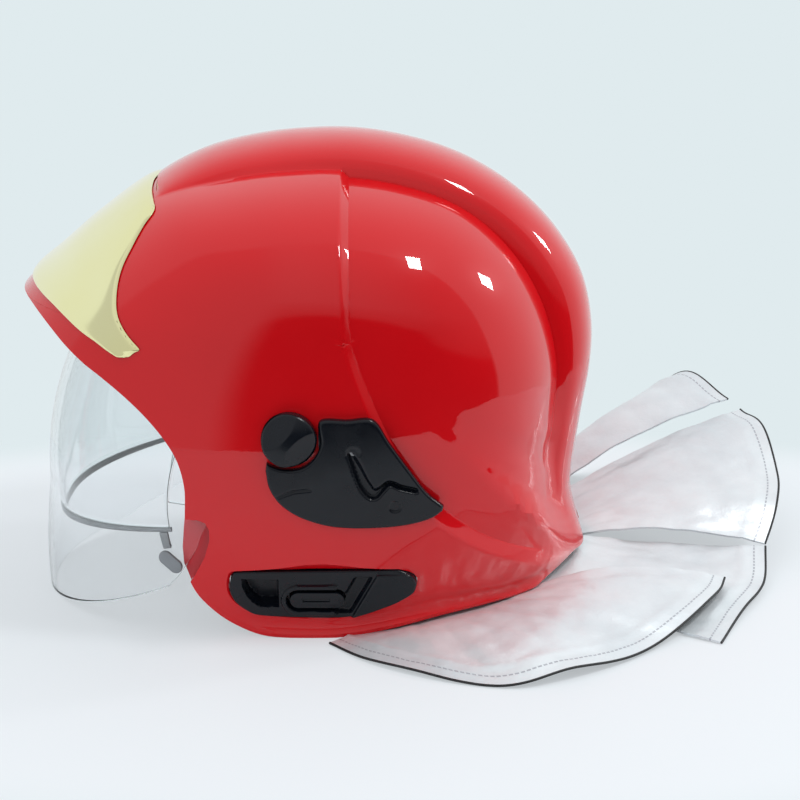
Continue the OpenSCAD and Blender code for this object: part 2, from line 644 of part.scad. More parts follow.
module ratchet_housing() {
    color("#24272a") difference() {
        union() {
            translate([ratchet_x, -30, ratchet_z - 11]) cube([ratchet_d, 60, 22]);
            translate([ratchet_x, 0, ratchet_z]) rotate([0, 90, 0]) cylinder(r = ratchet_r + 1, h = ratchet_d);
        }
        translate([ratchet_x + 2, 0, ratchet_z]) rotate([0, 90, 0]) cylinder(r = 4 + fit, h = 20);
    }
}
module ratchet_knob() {
    color("#1a1c1e") difference() {
        union() {
            translate([ratchet_x + ratchet_d + 0.4, 0, ratchet_z]) rotate([0, 90, 0]) cylinder(r = ratchet_r, h = 9);
            translate([ratchet_x + 2.4, 0, ratchet_z]) rotate([0, 90, 0]) cylinder(r = 4, h = ratchet_d);
        }
        for (a = [0:30:330]) translate([0, 0, ratchet_z]) rotate([a, 0, 0])
            translate([ratchet_x + ratchet_d - 1, 0, ratchet_r + 1.2]) rotate([0, 90, 0]) cylinder(r = 2.4, h = 20);
    }
}
// Cradle of four textile straps that cross under the crown and end inside the headband
cradle_top_gap = 1.4;
cradle_b = 18;
cradle_t = 1.4;
cradle_step = 1.7;
cradle_gap = 1.1;
cradle_dip = 5;
// The cradle hangs under the crown and clears the liner half way down its sides
side_strap_r = band_w - cradle_gap;
crown_z = hinge[1] + liner_in_r;
shoulder_z = hinge[1] + visor_y(side_strap_r * sin(45), liner_in_w, liner_in_r) + side_strap_r * (1 - sin(45));
cradle_top = min(crown_z, shoulder_z) - cradle_top_gap;
// Distance from the middle of the headband to its inner face in one direction
function on_side(turn) = band_w * abs(cos(turn)) < (band_l - band_w) * abs(sin(turn));
function band_reach(turn) = let (c = (band_l - band_w) * cos(turn), s = (band_l - band_w) * sin(turn))
    on_side(turn) ? band_w / abs(sin(turn)) : c + sqrt(band_w * band_w - s * s);
// How much nearer the band comes at one edge of a strap that meets it aslant
function band_slant(turn) = on_side(turn) ? 0 : cradle_b / 2 * (band_l - band_w) * abs(sin(turn)) / band_w;
module cradle_strap(turn, layer) {
    r = band_reach(turn) - cradle_gap - band_slant(turn);
    translate([0, 0, cradle_top - layer * cradle_step - r]) rotate([0, 0, turn]) rotate([90, 0, 0])
        rotate([0, 0, -0.2 * cradle_dip]) rotate_extrude(angle = 180 + 0.4 * cradle_dip, $fn = 96)
            translate([r - cradle_t, -cradle_b / 2]) square([cradle_t, cradle_b]);
}
module cradle_straps() {
    color("#4a4d50") translate([head_x, 0, 0]) {
        cradle_strap(0, 0);
        cradle_strap(90, 1);
        cradle_strap(48, 2);
        cradle_strap(-48, 3);
    }
}

// Chin strap hung from two anchors, with its cup and buckle
strap_t = 2;
strap_x = 2;
strap_z = -24;
strap_tilt = 20;
// The anchors' rivets end just inside the liner's face
rivet_h = 3.9;
rivet_gap = 0.4;
anchor_gap = 0.3;
strap_r = visor_y(norm([strap_x, strap_z] - hinge), liner_in_r, liner_in_w) - rivet_gap - rivet_h - anchor_gap
    - strap_t;
module chin_frame() {
    translate([strap_x, 0, strap_z]) rotate([0, strap_tilt, 0]) children();
}
module strap_arc(r, t, b, from, to) {
    rotate([90, 0, 90]) rotate([0, 0, from]) rotate_extrude(angle = to - from, $fn = 96)
        translate([r, -b / 2]) square([t, b]);
}
module chin_strap() {
    color("#2b2d30") chin_frame() strap_arc(strap_r, strap_t, strap_b, 184, 356);
}
module chin_cup() {
    color("#1d1f21") chin_frame() strap_arc(strap_r - 5.3, 5, strap_b + 14, 245, 295);
}
anchor_t = 1.6;
module strap_anchors() {
    y = strap_r + strap_t + anchor_gap;
    color("#8b9095") chin_frame() for (s = [0, 1]) mirror([0, s, 0]) {
        translate([-strap_b / 2 - 2, -y - anchor_t, -8]) cube([strap_b + 4, anchor_t, 16]);
        translate([0, -y, 0]) rotate([90, 0, 0]) cylinder(r = 3, h = rivet_h);
    }
}
buckle_at = 217;
buckle_b = 30;
module at_buckle() {
    chin_frame() rotate([90, 0, 90]) rotate([0, 0, buckle_at]) translate([strap_r + strap_t + 0.3, 0, 0]) children();
}
module buckle_body() {
    color("#17191b") at_buckle() difference() {
        translate([0, -19, -buckle_b / 2]) cube([7, 38, buckle_b]);
        translate([3, -9, -8]) cube([10, 18, 16]);
    }
}
module buckle_button() {
    color("#a01820") at_buckle() translate([5.2, -8.6, -7.6]) cube([3.2, 17.2, 15.2]);
}

// Curtain: rings about the nape that follow the shell's inside at a height
plan_x = 60;
rim_by_turn = [[0, -92], [14, -93.5], [27.6, -97], [40, -101], [51.6, -103], [61, -103.5], [79.6, -106],
    [97, -111], [111, -114], [125, -115]];
// Distance from the upright line through plan_x at which a skin lies, found by halving
function plan_r(turn, z, o, lo = 40, hi = 140, n = 22) =
    n == 0 ? (lo + hi) / 2 :
    let (m = (lo + hi) / 2, x = plan_x + m * cos(turn), y = m * abs(sin(turn)))
    y < side_y(x, z, o) ? plan_r(turn, z, o, m, hi, n - 1) : plan_r(turn, z, o, lo, m, n - 1);
function plan_point(turn, z, d) = let (r = plan_r(turn, z, -step_h - shell_t) - d)
    [plan_x + r * cos(turn), r * sin(turn), z];
function rim_z(turn) = lookup_at(rim_by_turn, abs(turn));
band_turns = [for (t = [-104:4:104]) t];
band_low = 3;
band_mid = 7;
band_high = 11;
band_gap = 0.5;
curtain_band_t = 1.4;
module curtain_band() {
    function at(d) = [for (z = [band_low, band_mid, band_high]) [for (t = band_turns)
        plan_point(t, rim_z(t) + z, d)]];
    color("#202224") between(at(band_gap + curtain_band_t), at(band_gap));
}

// A cloth solid about a grid of points
function unit(v) = v / norm(v);
function grid_normal(g, i, j) =
    let (
        n = len(g) - 1,
        m = len(g[0]) - 1,
        du = g[min(n, i + 1)][j] - g[max(0, i - 1)][j],
        dv = g[i][min(m, j + 1)] - g[i][max(0, j - 1)]
    ) unit(cross(du, dv));
module cloth(g, t) {
    function at(s) = [for (i = [0:len(g) - 1]) [for (j = [0:len(g[0]) - 1]) g[i][j] + grid_normal(g, i, j) * s]];
    between(at(t / 2), at(-t / 2));
}
floor_z = -axis_h;
cloth_rows = 9;
// Runs from the band's inner face down past the rim and out to the hem
function curtain_column(turn, hem, lift, fold) =
    let (
        z = rim_z(turn),
        inside = band_gap + curtain_band_t + cloth_t / 2 + 1.9,
        a = plan_point(turn, z + band_high - 2, inside),
        m = plan_point(turn, z + band_mid - 1, inside),
        b = plan_point(turn, z + 1, inside + 1),
        out = unit([hem[0] - b[0], hem[1] - b[1], 0]),
        low = max(floor_z + cloth_t / 2 + 0.05, z - 2.8),
        c = [b[0], b[1], low] + out * 2,
        d = [c[0], c[1], low] + out * 9,
        free = min(1, max(0, (norm(hem - d) - 25) / 60))
    )
    concat([a, m, b, c], [for (k = [0:cloth_rows]) let (u = k / cloth_rows, p = mid(d, hem, u))
        [p[0], p[1], max(floor_z + cloth_t / 2 + 0.05, p[2] + free * (lift * sin(180 * u) + fold * pow(u, 1.5)))]]);
// Hem points of each panel, from its first to its last turn about the nape
hem_side_left = [[19, -112, -114.3], [38, -134, -114.3], [60, -150, -114.3], [86, -163, -114.3],
    [114, -168, -114.3], [140, -158, -113], [164, -141, -113.5], [188, -118, -112.5], [210, -92, -110],
    [226, -66, -106.5], [233, -44, -104]];
hem_rear_left = [[222, -112, -114.3], [231, -90, -114.3], [241, -68, -114.3], [252, -46, -113.5],
    [258, -28, -110], [262, -2, -101]];
hem_rear_right = [[262, 0, -100], [271, 20, -89], [276, 45, -78], [276, 72, -68], [272, 98, -61],
    [265, 124, -57]];
hem_side_right = [[258, 130, -52], [237, 160, -46], [214, 168, -66], [192, 171, -90], [168, 172, -112],
    [140, 168, -114.3], [114, 162, -114.3], [86, 153, -114.3], [60, 142, -114.3], [38, 128, -114.3],
    [19, 112, -114.3]];
function hem_at(h, u) = let (x = u * (len(h) - 1), i = min(len(h) - 2, floor(x))) mid(h[i], h[i + 1], x - i);
module curtain(from, to, hem, n, lift, folds, depth) {
    g = [for (i = [0:n]) let (u = i / n)
        curtain_column(mid(from, to, u), hem_at(hem, u), lift, depth * (1 - cos(360 * folds * u)) / 2)];
    cloth(g, cloth_t);
}
module curtain_side_left() {
    color("#d9dde0") curtain(-100, -48, hem_side_left, 20, 9, 3, 4);
}
module curtain_rear_left() {
    color("#d9dde0") curtain(-38, -1, hem_rear_left, 14, -2, 1, 3);
}
module curtain_rear_right() {
    color("#d9dde0") curtain(1, 43, hem_rear_right, 14, 6, 2, 5);
}
module curtain_side_right() {
    color("#d9dde0") curtain(47, 100, hem_side_right, 20, 9, 3, 5);
}

placed() {
    outer_shell();
    frontal_plate();
    face_shield();
    shield_arm();  // shield_arm_left
    right() shield_arm();  // shield_arm_right
    shield_grip();  // shield_grip_left
    right() shield_grip();  // shield_grip_right
    ocular_visor();
    ocular_trim();
    ocular_tab();  // ocular_tab_left
    right() ocular_tab();  // ocular_tab_right
    hinge_pin();  // hinge_pin_left
    right() hinge_pin();  // hinge_pin_right
    visor_housing();
    cheek_panel();  // cheek_panel_left
    right() cheek_panel();  // cheek_panel_right
    side_plate();  // side_plate_left
    right() side_plate();  // side_plate_right
    plate_screws();
    side_knob();  // side_knob_left
    right() side_knob();  // side_knob_right
    knob_spindle();  // knob_spindle_left
    right() knob_spindle();  // knob_spindle_right
    mask_bracket();  // mask_bracket_left
    right() mask_bracket();  // mask_bracket_right
    mask_release();  // mask_release_left
    right() mask_release();  // mask_release_right
    liner_front();
    liner_rear();
    brow_pad();
    headband();
    ratchet_housing();
    ratchet_knob();
    cradle_straps();
    chin_strap();
    chin_cup();
    strap_anchors();
    buckle_body();
    buckle_button();
    curtain_band();
    curtain_side_left();
    curtain_rear_left();
    curtain_rear_right();
    curtain_side_right();
}
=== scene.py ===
"""Looks of the fire helmet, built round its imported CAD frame."""

import json
import math

import bmesh
import bpy
import numpy as np
from mathutils import Matrix, Quaternion, Vector


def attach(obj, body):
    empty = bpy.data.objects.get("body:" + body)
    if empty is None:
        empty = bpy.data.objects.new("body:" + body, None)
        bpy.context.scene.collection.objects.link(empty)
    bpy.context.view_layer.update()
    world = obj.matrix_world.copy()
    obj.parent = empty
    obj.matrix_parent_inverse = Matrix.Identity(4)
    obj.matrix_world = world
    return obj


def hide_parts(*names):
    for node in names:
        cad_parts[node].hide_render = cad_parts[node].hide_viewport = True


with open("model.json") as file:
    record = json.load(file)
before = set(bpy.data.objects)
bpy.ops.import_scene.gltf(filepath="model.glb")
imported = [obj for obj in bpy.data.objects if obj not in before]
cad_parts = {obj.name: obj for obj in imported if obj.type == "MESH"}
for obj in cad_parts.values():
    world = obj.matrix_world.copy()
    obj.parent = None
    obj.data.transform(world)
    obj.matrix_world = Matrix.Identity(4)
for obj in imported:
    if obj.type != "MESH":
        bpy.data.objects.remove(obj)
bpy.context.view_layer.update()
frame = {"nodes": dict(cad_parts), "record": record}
scene = bpy.context.scene
NODES = frame["nodes"]

# Sizes shared with the CAD source, in millimetres from the knob axis
SHIFT = np.array([-64.5, 0.0, 115.0])
POLE = np.array([31.0, 48.0])
HINGE = np.array([19.0, -47.0])
SHELL_W, SHELL_T, STEP_H = 123.0, 3.5, 3.5
SHELL_P, SHELL_Q, VISOR_P = 2.5, 2.1, 2.2
CREST_W, CREST_FLANK = 40.0, 3.0
PLATE_T, PLATE_GAP = 3.0, 0.7
DOME = [(-148, 54), (-128, 70.5), (-105, 89.5), (-75, 109.5), (-45, 117.5), (-10, 123), (20, 124.5),
        (58, 119.5), (95, 105), (123, 79), (140, 48), (147, 15), (145, -20), (143.5, -50), (151, -76),
        (161, -92)]
BELOW = [(228.4, 191), (231.6, 195), (235.6, 200), (240.3, 204), (253.4, 222), (264, 247), (275, 265),
         (291, 268), (303, 269), (314, 270), (326, 252), (338, 229), (349.6, 203), (356, 193)]
CREST = [(-75, 112), (-53, 124), (-25, 132), (2, 135.5), (29, 136), (57, 132), (95, 119), (121, 102),
         (142, 80), (155, 57), (160.5, 30), (159.5, 5), (156, -15), (153, -35), (150.8, -55), (151.2, -72),
         (156, -83.5), (161, -92)]
RIM = [(161, -92), (151, -92.6), (146, -97), (133, -101), (117, -103), (104, -103.5), (77, -106),
       (47, -111.5), (22, -115), (-2, -115), (-17, -113.5), (-30, -108), (-40, -101), (-49, -91),
       (-54, -80), (-56, -70), (-55, -55), (-54, -40), (-54, -28), (-57, -15), (-63, -4), (-72, 7),
       (-83, 17), (-95, 25.5), (-105, 31.5), (-115, 38.5), (-123, 44.5), (-130, 49), (-137, 52.3),
       (-143, 53.7), (-148, 54)]
STEP_DIR, CREST_START, NAPE_BOW = 88.4, 30.7, 27.0
# Width of the rolled edge along the step at the top and what it gains lower down, and how soft its ends are
ROLL_W, ROLL_GAIN, ROLL_SOFT = 4.6, 3.0, 0.015
# Half the length of the step's soft bend at the pole, where it fades into the plain line, and its smoothing
BEND_REACH, BEND_FADE, BEND_SOFT = 52.0, (20.0, 34.0), 30


def place(p):
    return (np.asarray(p, float) + SHIFT) * 0.001


def polar(p):
    p = np.asarray(p, float)
    d = p - POLE
    return np.degrees(np.arctan2(d[..., 1], -d[..., 0])) % 360, np.hypot(d[..., 0], d[..., 1])


def towards(a):
    a = np.radians(a)
    return np.stack([-np.cos(a), np.sin(a)], -1)


def hermite(table, x):
    X, Y = np.asarray(table, float).T
    d = np.diff(Y) / np.diff(X)
    h = np.diff(X)
    m = np.concatenate([[d[0]], (d[:-1] * h[1:] + d[1:] * h[:-1]) / (h[:-1] + h[1:]), [d[-1]]])
    x = np.asarray(x, float)
    i = np.clip(np.searchsorted(X, x, side="right") - 1, 0, len(X) - 2)
    u = (x - X[i]) / h[i]
    return ((1 + 2 * u) * (1 - u) ** 2 * Y[i] + u * (1 - u) ** 2 * h[i] * m[i]
            + u * u * (3 - 2 * u) * Y[i + 1] - u * u * (1 - u) * h[i] * m[i + 1])


def wrapped(t):
    t = [tuple(r) for r in t]
    return [(a - 360, r) for a, r in t[-3:]] + t + [(a + 360, r) for a, r in t[:3]]


DOME_TABLE = wrapped([tuple(float(v) for v in polar(p)) for p in DOME] + BELOW)
CREST_TABLE = [tuple(float(v) for v in polar(p)) for p in CREST]


def reach(a):
    return hermite(DOME_TABLE, np.asarray(a, float) % 360)


EVEN_TABLE = [(a, float(np.mean([reach(a + d + 360) for d in range(-40, 41, 10)])))
              for a in range(-30, 391, 15)]


def even(a):
    return hermite(EVEN_TABLE, np.asarray(a, float) % 360)


def step01(x):
    x = np.clip(x, 0, 1)
    return x * x * (3 - 2 * x)


def crest_up(a):
    if a < 30.2 or a > 227:
        return 0.0
    up = max(0.0, float(hermite(CREST_TABLE, max(a, CREST_START)) - reach(a)))
    return up * float(step01((a - 30.2) / 1.1))


def side_y(x, z, o=0.0):
    a, r = polar(np.stack([np.asarray(x, float), np.asarray(z, float)], -1))
    full = reach(a) + o
    t = np.minimum(1, r / full)
    s = np.minimum(1, r / ((even(a) + o) * (1 - t * t) + full * t * t))
    return (SHELL_W + o) * np.power(np.clip(1 - s ** SHELL_P, 0, 1), 1 / SHELL_Q)


def side_r(a, y, o=0.0):
    s = np.power(np.clip(1 - np.minimum(1, np.abs(y) / (SHELL_W + o)) ** SHELL_Q, 0, 1), 1 / SHELL_P)
    full = reach(a) + o
    e = even(a) + o
    return full * 2 * s * e / (full + np.sqrt(np.maximum(0, full * full - 4 * s * s * (full - e) * e)))


TIP_DIR = float(polar(DOME[0])[0])
NAPE_DIR = float(polar(DOME[-1])[0])


def bowed(a, r, end):
    """Points on a meridian's line in the side plane, bowed near the nape."""
    bow = NAPE_BOW * math.exp(-((a - NAPE_DIR) / 22) ** 2)
    across = np.array([math.sin(math.radians(a)), math.cos(math.radians(a))])
    r = np.asarray(r, float)[..., None]
    return POLE + towards(a) * r + across * bow * np.sin(math.pi * np.minimum(1, r / end))


_top = float(reach(STEP_DIR))
_low = float(reach(NAPE_DIR))
STEP_LINE = np.concatenate([bowed(STEP_DIR, np.linspace(_top, 0, 350), _top)[:-1],
                            bowed(NAPE_DIR, np.linspace(0, _low, 900), _low)])


def rolled(line, p, wide):
    """How far the raised front of the shell has rolled over at a point near the line of its step."""
    d = float(np.hypot(line[:, 0] - p[0], line[:, 1] - p[1]).min())
    w = wide * (ROLL_W + ROLL_GAIN * float(step01((20 - p[1]) / 60)))
    return STEP_H * (math.sqrt(max(0.0, 1 - d / w) ** 2 + ROLL_SOFT) - 0.1225) / 0.885


def soft_step():
    """The step's line past the pole, where its two halves join in one soft bend."""
    near = STEP_LINE[np.hypot(STEP_LINE[:, 0] - POLE[0], STEP_LINE[:, 1] - POLE[1]) < BEND_REACH]
    near = near[np.argsort(near[:, 1])]
    z = np.linspace(near[0, 1], near[-1, 1], 209)
    x = np.pad(np.interp(z, near[:, 1], near[:, 0]), BEND_SOFT, mode="reflect", reflect_type="odd")
    weight = 1.0 - np.abs(np.arange(-BEND_SOFT, BEND_SOFT + 1)) / (BEND_SOFT + 1)
    return np.stack([np.convolve(x, weight / weight.sum(), "valid"), z], -1)


SOFT_STEP = soft_step()


def soft_level(p, level, o_front, wide):
    """The shell's level at a point: near the pole it follows the soft bend of the step."""
    far = math.hypot(p[0] - POLE[0], p[1] - POLE[1])
    k = float(step01((BEND_FADE[1] - far) / (BEND_FADE[1] - BEND_FADE[0])))
    if k <= 0:
        return level
    in_front = p[0] < np.interp(p[1], SOFT_STEP[:, 1], SOFT_STEP[:, 0])
    rise = STEP_H - rolled(SOFT_STEP, p, wide) if in_front else 0.0
    return level + k * (o_front - STEP_H + rise - level)


# Mesh helpers
def mesh_piece(name, verts, faces, mats=(), sharp=38):
    me = bpy.data.meshes.new(name)
    me.from_pydata(np.asarray(verts, float).reshape(-1, 3).tolist(), [], [tuple(map(int, f)) for f in faces])
    me.validate()
    me.update()
    ob = bpy.data.objects.new(name, me)
    scene.collection.objects.link(ob)
    for m in mats:
        me.materials.append(m)
    shade(ob, sharp)
    return ob


def shade(ob, sharp=38):
    me = ob.data
    me.polygons.foreach_set("use_smooth", np.ones(len(me.polygons), bool))
    me.set_sharp_from_angle(angle=math.radians(sharp))


def grid_faces(n, m, wrap=False, start=0, flip=False):
    out = []
    for i in range(n - 1):
        for j in range(m if wrap else m - 1):
            k = (j + 1) % m
            q = (start + i * m + j, start + i * m + k, start + (i + 1) * m + k, start + (i + 1) * m + j)
            out.append(q[::-1] if flip else q)
    return out


def rim_of(g):
    """The closed outline round a grid."""
    return np.concatenate([g[0], g[1:, -1], g[-1, -2::-1], g[-2:0:-1, 0]])


def shell_between(name, top, bottom, mats, sharp=38):
    """A closed solid between two grids of points in metres with the same rows and columns."""
    n, m = top.shape[:2]
    verts = np.concatenate([top.reshape(-1, 3), bottom.reshape(-1, 3)])
    faces = grid_faces(n, m) + grid_faces(n, m, start=n * m, flip=True)
    e = rim_of(np.arange(n * m).reshape(n, m))
    faces += [(b, a, a + n * m, b + n * m) for a, b in zip(e, np.roll(e, -1))]
    return outward(mesh_piece(name, verts, faces, mats, sharp))


def outward(ob):
    bm = bmesh.new()
    bm.from_mesh(ob.data)
    bmesh.ops.recalc_face_normals(bm, faces=bm.faces)
    bm.to_mesh(ob.data)
    bm.free()
    return ob


def apply_all(ob):
    graph = bpy.context.evaluated_depsgraph_get()
    graph.update()
    me = bpy.data.meshes.new_from_object(ob.evaluated_get(graph))
    old = ob.data
    ob.modifiers.clear()
    ob.data = me
    bpy.data.meshes.remove(old)


def prism(outline, y0, y1, grow0=0.0, grow1=0.0, middle=None):
    """A prism along Y from an outline in x and z, in millimetres, with its own growth at each end."""
    pts = np.asarray(outline, float)
    d = unit(pts - (np.mean(pts, 0) if middle is None else np.asarray(middle, float)))
    a, b = pts + d * grow0, pts + d * grow1
    n = len(pts)
    verts = [(p[0], y0, p[1]) for p in a] + [(p[0], y1, p[1]) for p in b]
    faces = [tuple(range(n)), tuple(range(2 * n - 1, n - 1, -1))]
    faces += [(i, i + n, (i + 1) % n + n, (i + 1) % n) for i in range(n)]
    return verts, faces


def smooth_loop(pts, per=6, closed=True):
    """Catmull-Rom curve through points of any dimension."""
    p = np.asarray(pts, float)
    n = len(p)
    out = []
    last = n if closed else n - 1
    for i in range(last):
        p1, p2 = p[i], p[(i + 1) % n]
        p0 = p[i - 1] if (closed or i > 0) else 2 * p1 - p2
        p3 = p[(i + 2) % n] if (closed or i + 2 < n) else 2 * p2 - p1
        for t in np.arange(per) / per:
            out.append(0.5 * (2 * p1 + (p2 - p0) * t + (2 * p0 - 5 * p1 + 4 * p2 - p3) * t * t
                              + (3 * p1 - p0 - 3 * p2 + p3) * t ** 3))
    if not closed:
        out.append(p[-1])
    return np.array(out)


def unit(v):
    return v / np.linalg.norm(v, axis=-1)[..., None]


def run_of(p):
    """Length along a line up to each of its points."""
    return np.concatenate([[0], np.cumsum(np.linalg.norm(np.diff(p, axis=0), axis=1))])


def evened(loop, n):
    """Points at even steps round a closed outline."""
    p = np.concatenate([loop, loop[:1]])
    s = run_of(p)
    t = np.linspace(0, s[-1], n + 1)[:-1]
    return np.stack([np.interp(t, s, p[:, k]) for k in range(p.shape[1])], -1)


def line_distance(q, line, closed=False):
    """Distance of points q from a line or a closed outline, both in the plane."""
    a = np.asarray(line, float)
    b = np.roll(a, -1, 0)
    best = np.full(q.shape[:-1], 1e9)
    for p0, p1 in list(zip(a, b))[:None if closed else -1]:
        d = p1 - p0
        t = np.clip(((q - p0) @ d) / max(1e-9, d @ d), 0, 1)
        best = np.minimum(best, np.linalg.norm(q - p0 - t[..., None] * d, axis=-1))
    return best


def at_fractions(line, along):
    i = along * (len(line) - 1)
    k = np.minimum(i.astype(int), len(line) - 2)
    w = (i - k)[:, None]
    return line[k] * (1 - w) + line[k + 1] * w


def laid_between(a, b, across):
    """A grid of points from line a to line b, at fractions across."""
    return a[None] * (1 - across[:, None, None]) + b[None] * across[:, None, None]


def swept(name, rings, mats):
    """A closed solid through rings that all have the same number of points, in metres."""
    n, m = rings.shape[:2]
    faces = grid_faces(n, m, True) + [tuple(range(m))[::-1], tuple((n - 1) * m + j for j in range(m))]
    return outward(mesh_piece(name, rings, faces, mats, 60))


def tube(name, p, radius, mats, sides):
    """A round tube along points in metres."""
    tan = unit(np.gradient(p, axis=0))
    up = np.array([0.0, 0.0, 1.0]) if abs(tan[0][2]) < 0.9 else np.array([0.0, 1.0, 0.0])
    nrm = unit(up - tan[0] * (up @ tan[0]))
    ang = np.arange(sides) * 2 * math.pi / sides
    rings = []
    for at, t in zip(p, tan):
        nrm = unit(nrm - t * (nrm @ t))
        rings.append(at + radius * (np.cos(ang)[:, None] * nrm + np.sin(ang)[:, None] * np.cross(t, nrm)))
    return swept(name, np.array(rings), mats)


# Materials
def principled(name, color, rough, metal=0.0, **inputs):
    m = bpy.data.materials.new(name)
    m.use_nodes = True
    nt = m.node_tree
    b = nt.nodes["Principled BSDF"]
    b.inputs["Base Color"].default_value = (*color, 1)
    b.inputs["Roughness"].default_value = rough
    b.inputs["Metallic"].default_value = metal
    for k, v in inputs.items():
        b.inputs[k.replace("_", " ")].default_value = v
    m.diffuse_color = (*color, 1)
    return m, nt, b


def node(nt, kind, ins=None, **props):
    """A shader node with its settings. An input that is given as a socket is linked."""
    n = nt.nodes.new(kind)
    for k, v in props.items():
        setattr(n, k, v)
    for k, v in (ins or {}).items():
        if isinstance(v, bpy.types.NodeSocket):
            nt.links.new(v, n.inputs[k])
        else:
            n.inputs[k].default_value = v
    return n


def math_of(nt, operation, *values):
    return node(nt, "ShaderNodeMath", dict(enumerate(values)), operation=operation).outputs[0]


def mapped(nt, src, low, high, to_low=0.0, to_high=1.0, kind="LINEAR"):
    ins = {"Value": src, "From Min": low, "From Max": high, "To Min": to_low, "To Max": to_high}
    return node(nt, "ShaderNodeMapRange", ins, interpolation_type=kind).outputs["Result"]


def blend(nt, factor, a, b):
    """A mix of two colours."""
    return node(nt, "ShaderNodeMix", {"Factor": factor, 6: a, 7: b}, data_type="RGBA").outputs[2]


def coords(nt, kind="Object"):
    return nt.nodes.new("ShaderNodeTexCoord").outputs[kind]


def axes_of(nt, kind):
    return node(nt, "ShaderNodeSeparateXYZ", {"Vector": coords(nt, kind)}).outputs


def noise_of(nt, scale, detail=3.0, rough=0.5, stretch=None):
    src = coords(nt)
    if stretch:
        src = node(nt, "ShaderNodeMapping", {"Vector": src, "Scale": stretch}).outputs["Vector"]
    ins = {"Vector": src, "Scale": scale, "Detail": detail, "Roughness": rough}
    return node(nt, "ShaderNodeTexNoise", ins).outputs["Fac"]


def ramp(nt, src, stops):
    r = node(nt, "ShaderNodeValToRGB", {"Fac": src})
    el = r.color_ramp.elements
    while len(el) < len(stops):
        el.new(0.5)
    for e, (p, c) in zip(el, stops):
        e.position = p
        e.color = (*c, 1)
    return r.outputs["Color"]


def tint(nt, b, src, low, high, stops=(0.3, 0.7)):
    nt.links.new(ramp(nt, src, list(zip(stops, (low, high)))), b.inputs["Base Color"])


def vary_rough(nt, b, src, low, high, stops=(0.3, 0.7)):
    nt.links.new(mapped(nt, src, *stops, low, high), b.inputs["Roughness"])


def bump(nt, b, src, distance, strength=1.0, coat=False):
    n = node(nt, "ShaderNodeBump", {"Height": src, "Distance": distance, "Strength": strength})
    if b.inputs["Normal"].is_linked:
        nt.links.new(b.inputs["Normal"].links[0].from_socket, n.inputs["Normal"])
    nt.links.new(n.outputs["Normal"], b.inputs["Normal"])
    if coat:
        nt.links.new(n.outputs["Normal"], b.inputs["Coat Normal"])


def cells(nt, b, scale, low, high, end, depth, strength):
    """The open cells of foam or of a knit."""
    v = node(nt, "ShaderNodeTexVoronoi", {"Vector": coords(nt), "Scale": scale}).outputs["Distance"]
    tint(nt, b, v, low, high, (0.0, end))
    bump(nt, b, v, depth, strength)


def mat_paint(name, color, dark):
    m, nt, b = principled(name, color, 0.4, Coat_Weight=1.0, Coat_Roughness=0.02, Coat_IOR=1.5,
                          Specular_IOR_Level=0.05)
    tint(nt, b, noise_of(nt, 6.0), dark, color)
    vary_rough(nt, b, noise_of(nt, 40.0, 4), 0.28, 0.4)
    bump(nt, b, noise_of(nt, 420.0, 2), 0.000008, 1.0, True)
    bump(nt, b, noise_of(nt, 22.0, 1), 0.00006, 0.6, True)
    return m


def mat_plastic(name, color, rough, grain, depth, light=None, shine=0.5):
    m, nt, b = principled(name, color, rough, Specular_IOR_Level=shine)
    tint(nt, b, noise_of(nt, 35.0, 4), color, light or tuple(c * 1.5 + 0.004 for c in color))
    vary_rough(nt, b, noise_of(nt, 60.0, 4), rough - 0.06, rough + 0.08)
    bump(nt, b, noise_of(nt, grain, 3, 0.6), depth)
    return m


RED = mat_paint("shell_red", (0.72, 0.004, 0.009), (0.66, 0.003, 0.007))
RED_PANEL = mat_plastic("panel_red", (0.55, 0.02, 0.03), 0.34, 500, 0.00002, (0.6, 0.025, 0.035))
BLACK = mat_plastic("satin_black", (0.002, 0.003, 0.006), 0.25, 1400, 0.00002, (0.004, 0.006, 0.010), 0.36)
DARK = mat_plastic("grained_grey", (0.016, 0.017, 0.019), 0.5, 1100, 0.00005)
RUBBER = mat_plastic("trim_grey", (0.24, 0.25, 0.265), 0.34, 800, 0.00002, (0.30, 0.31, 0.325))
GRIP = mat_plastic("grip_grey", (0.20, 0.215, 0.23), 0.42, 900, 0.00004)


def mat_gold():
    m, nt, b = principled("gold_mirror", (0.95, 0.92, 0.50), 0.1, 1.0, Coat_Weight=0.3, Coat_Roughness=0.05)
    tint(nt, b, noise_of(nt, 9.0), (0.92, 0.87, 0.42), (0.96, 0.94, 0.60))
    vary_rough(nt, b, noise_of(nt, 30.0, 4), 0.09, 0.16)
    bump(nt, b, noise_of(nt, 14.0, 1), 0.0002, 0.5)
    return m


def mat_clear(name):
    m, nt, b = principled(name, (0.975, 0.985, 0.99), 0.015, IOR=1.4, Transmission_Weight=1.0)
    vary_rough(nt, b, noise_of(nt, 60.0, 5, 0.7), 0.01, 0.05, (0.45, 0.75))
    return m


def mat_steel():
    m, nt, b = principled("brushed_steel", (0.55, 0.56, 0.58), 0.3, 1.0)
    lines = noise_of(nt, 900.0, 2, 0.5, (1, 0.05, 1))
    vary_rough(nt, b, lines, 0.22, 0.4)
    bump(nt, b, lines, 0.00002)
    return m


def mat_foam():
    m, nt, b = principled("liner_foam", (0.02, 0.02, 0.022), 0.9)
    cells(nt, b, 420, (0.035, 0.035, 0.038), (0.012, 0.012, 0.013), 0.9, 0.0008, 0.7)
    return m


def mat_knit():
    m, nt, b = principled("pad_knit", (0.03, 0.03, 0.033), 0.85, Sheen_Weight=0.4)
    cells(nt, b, 700, (0.045, 0.045, 0.05), (0.012, 0.012, 0.014), 0.8, 0.0005, 0.8)
    return m


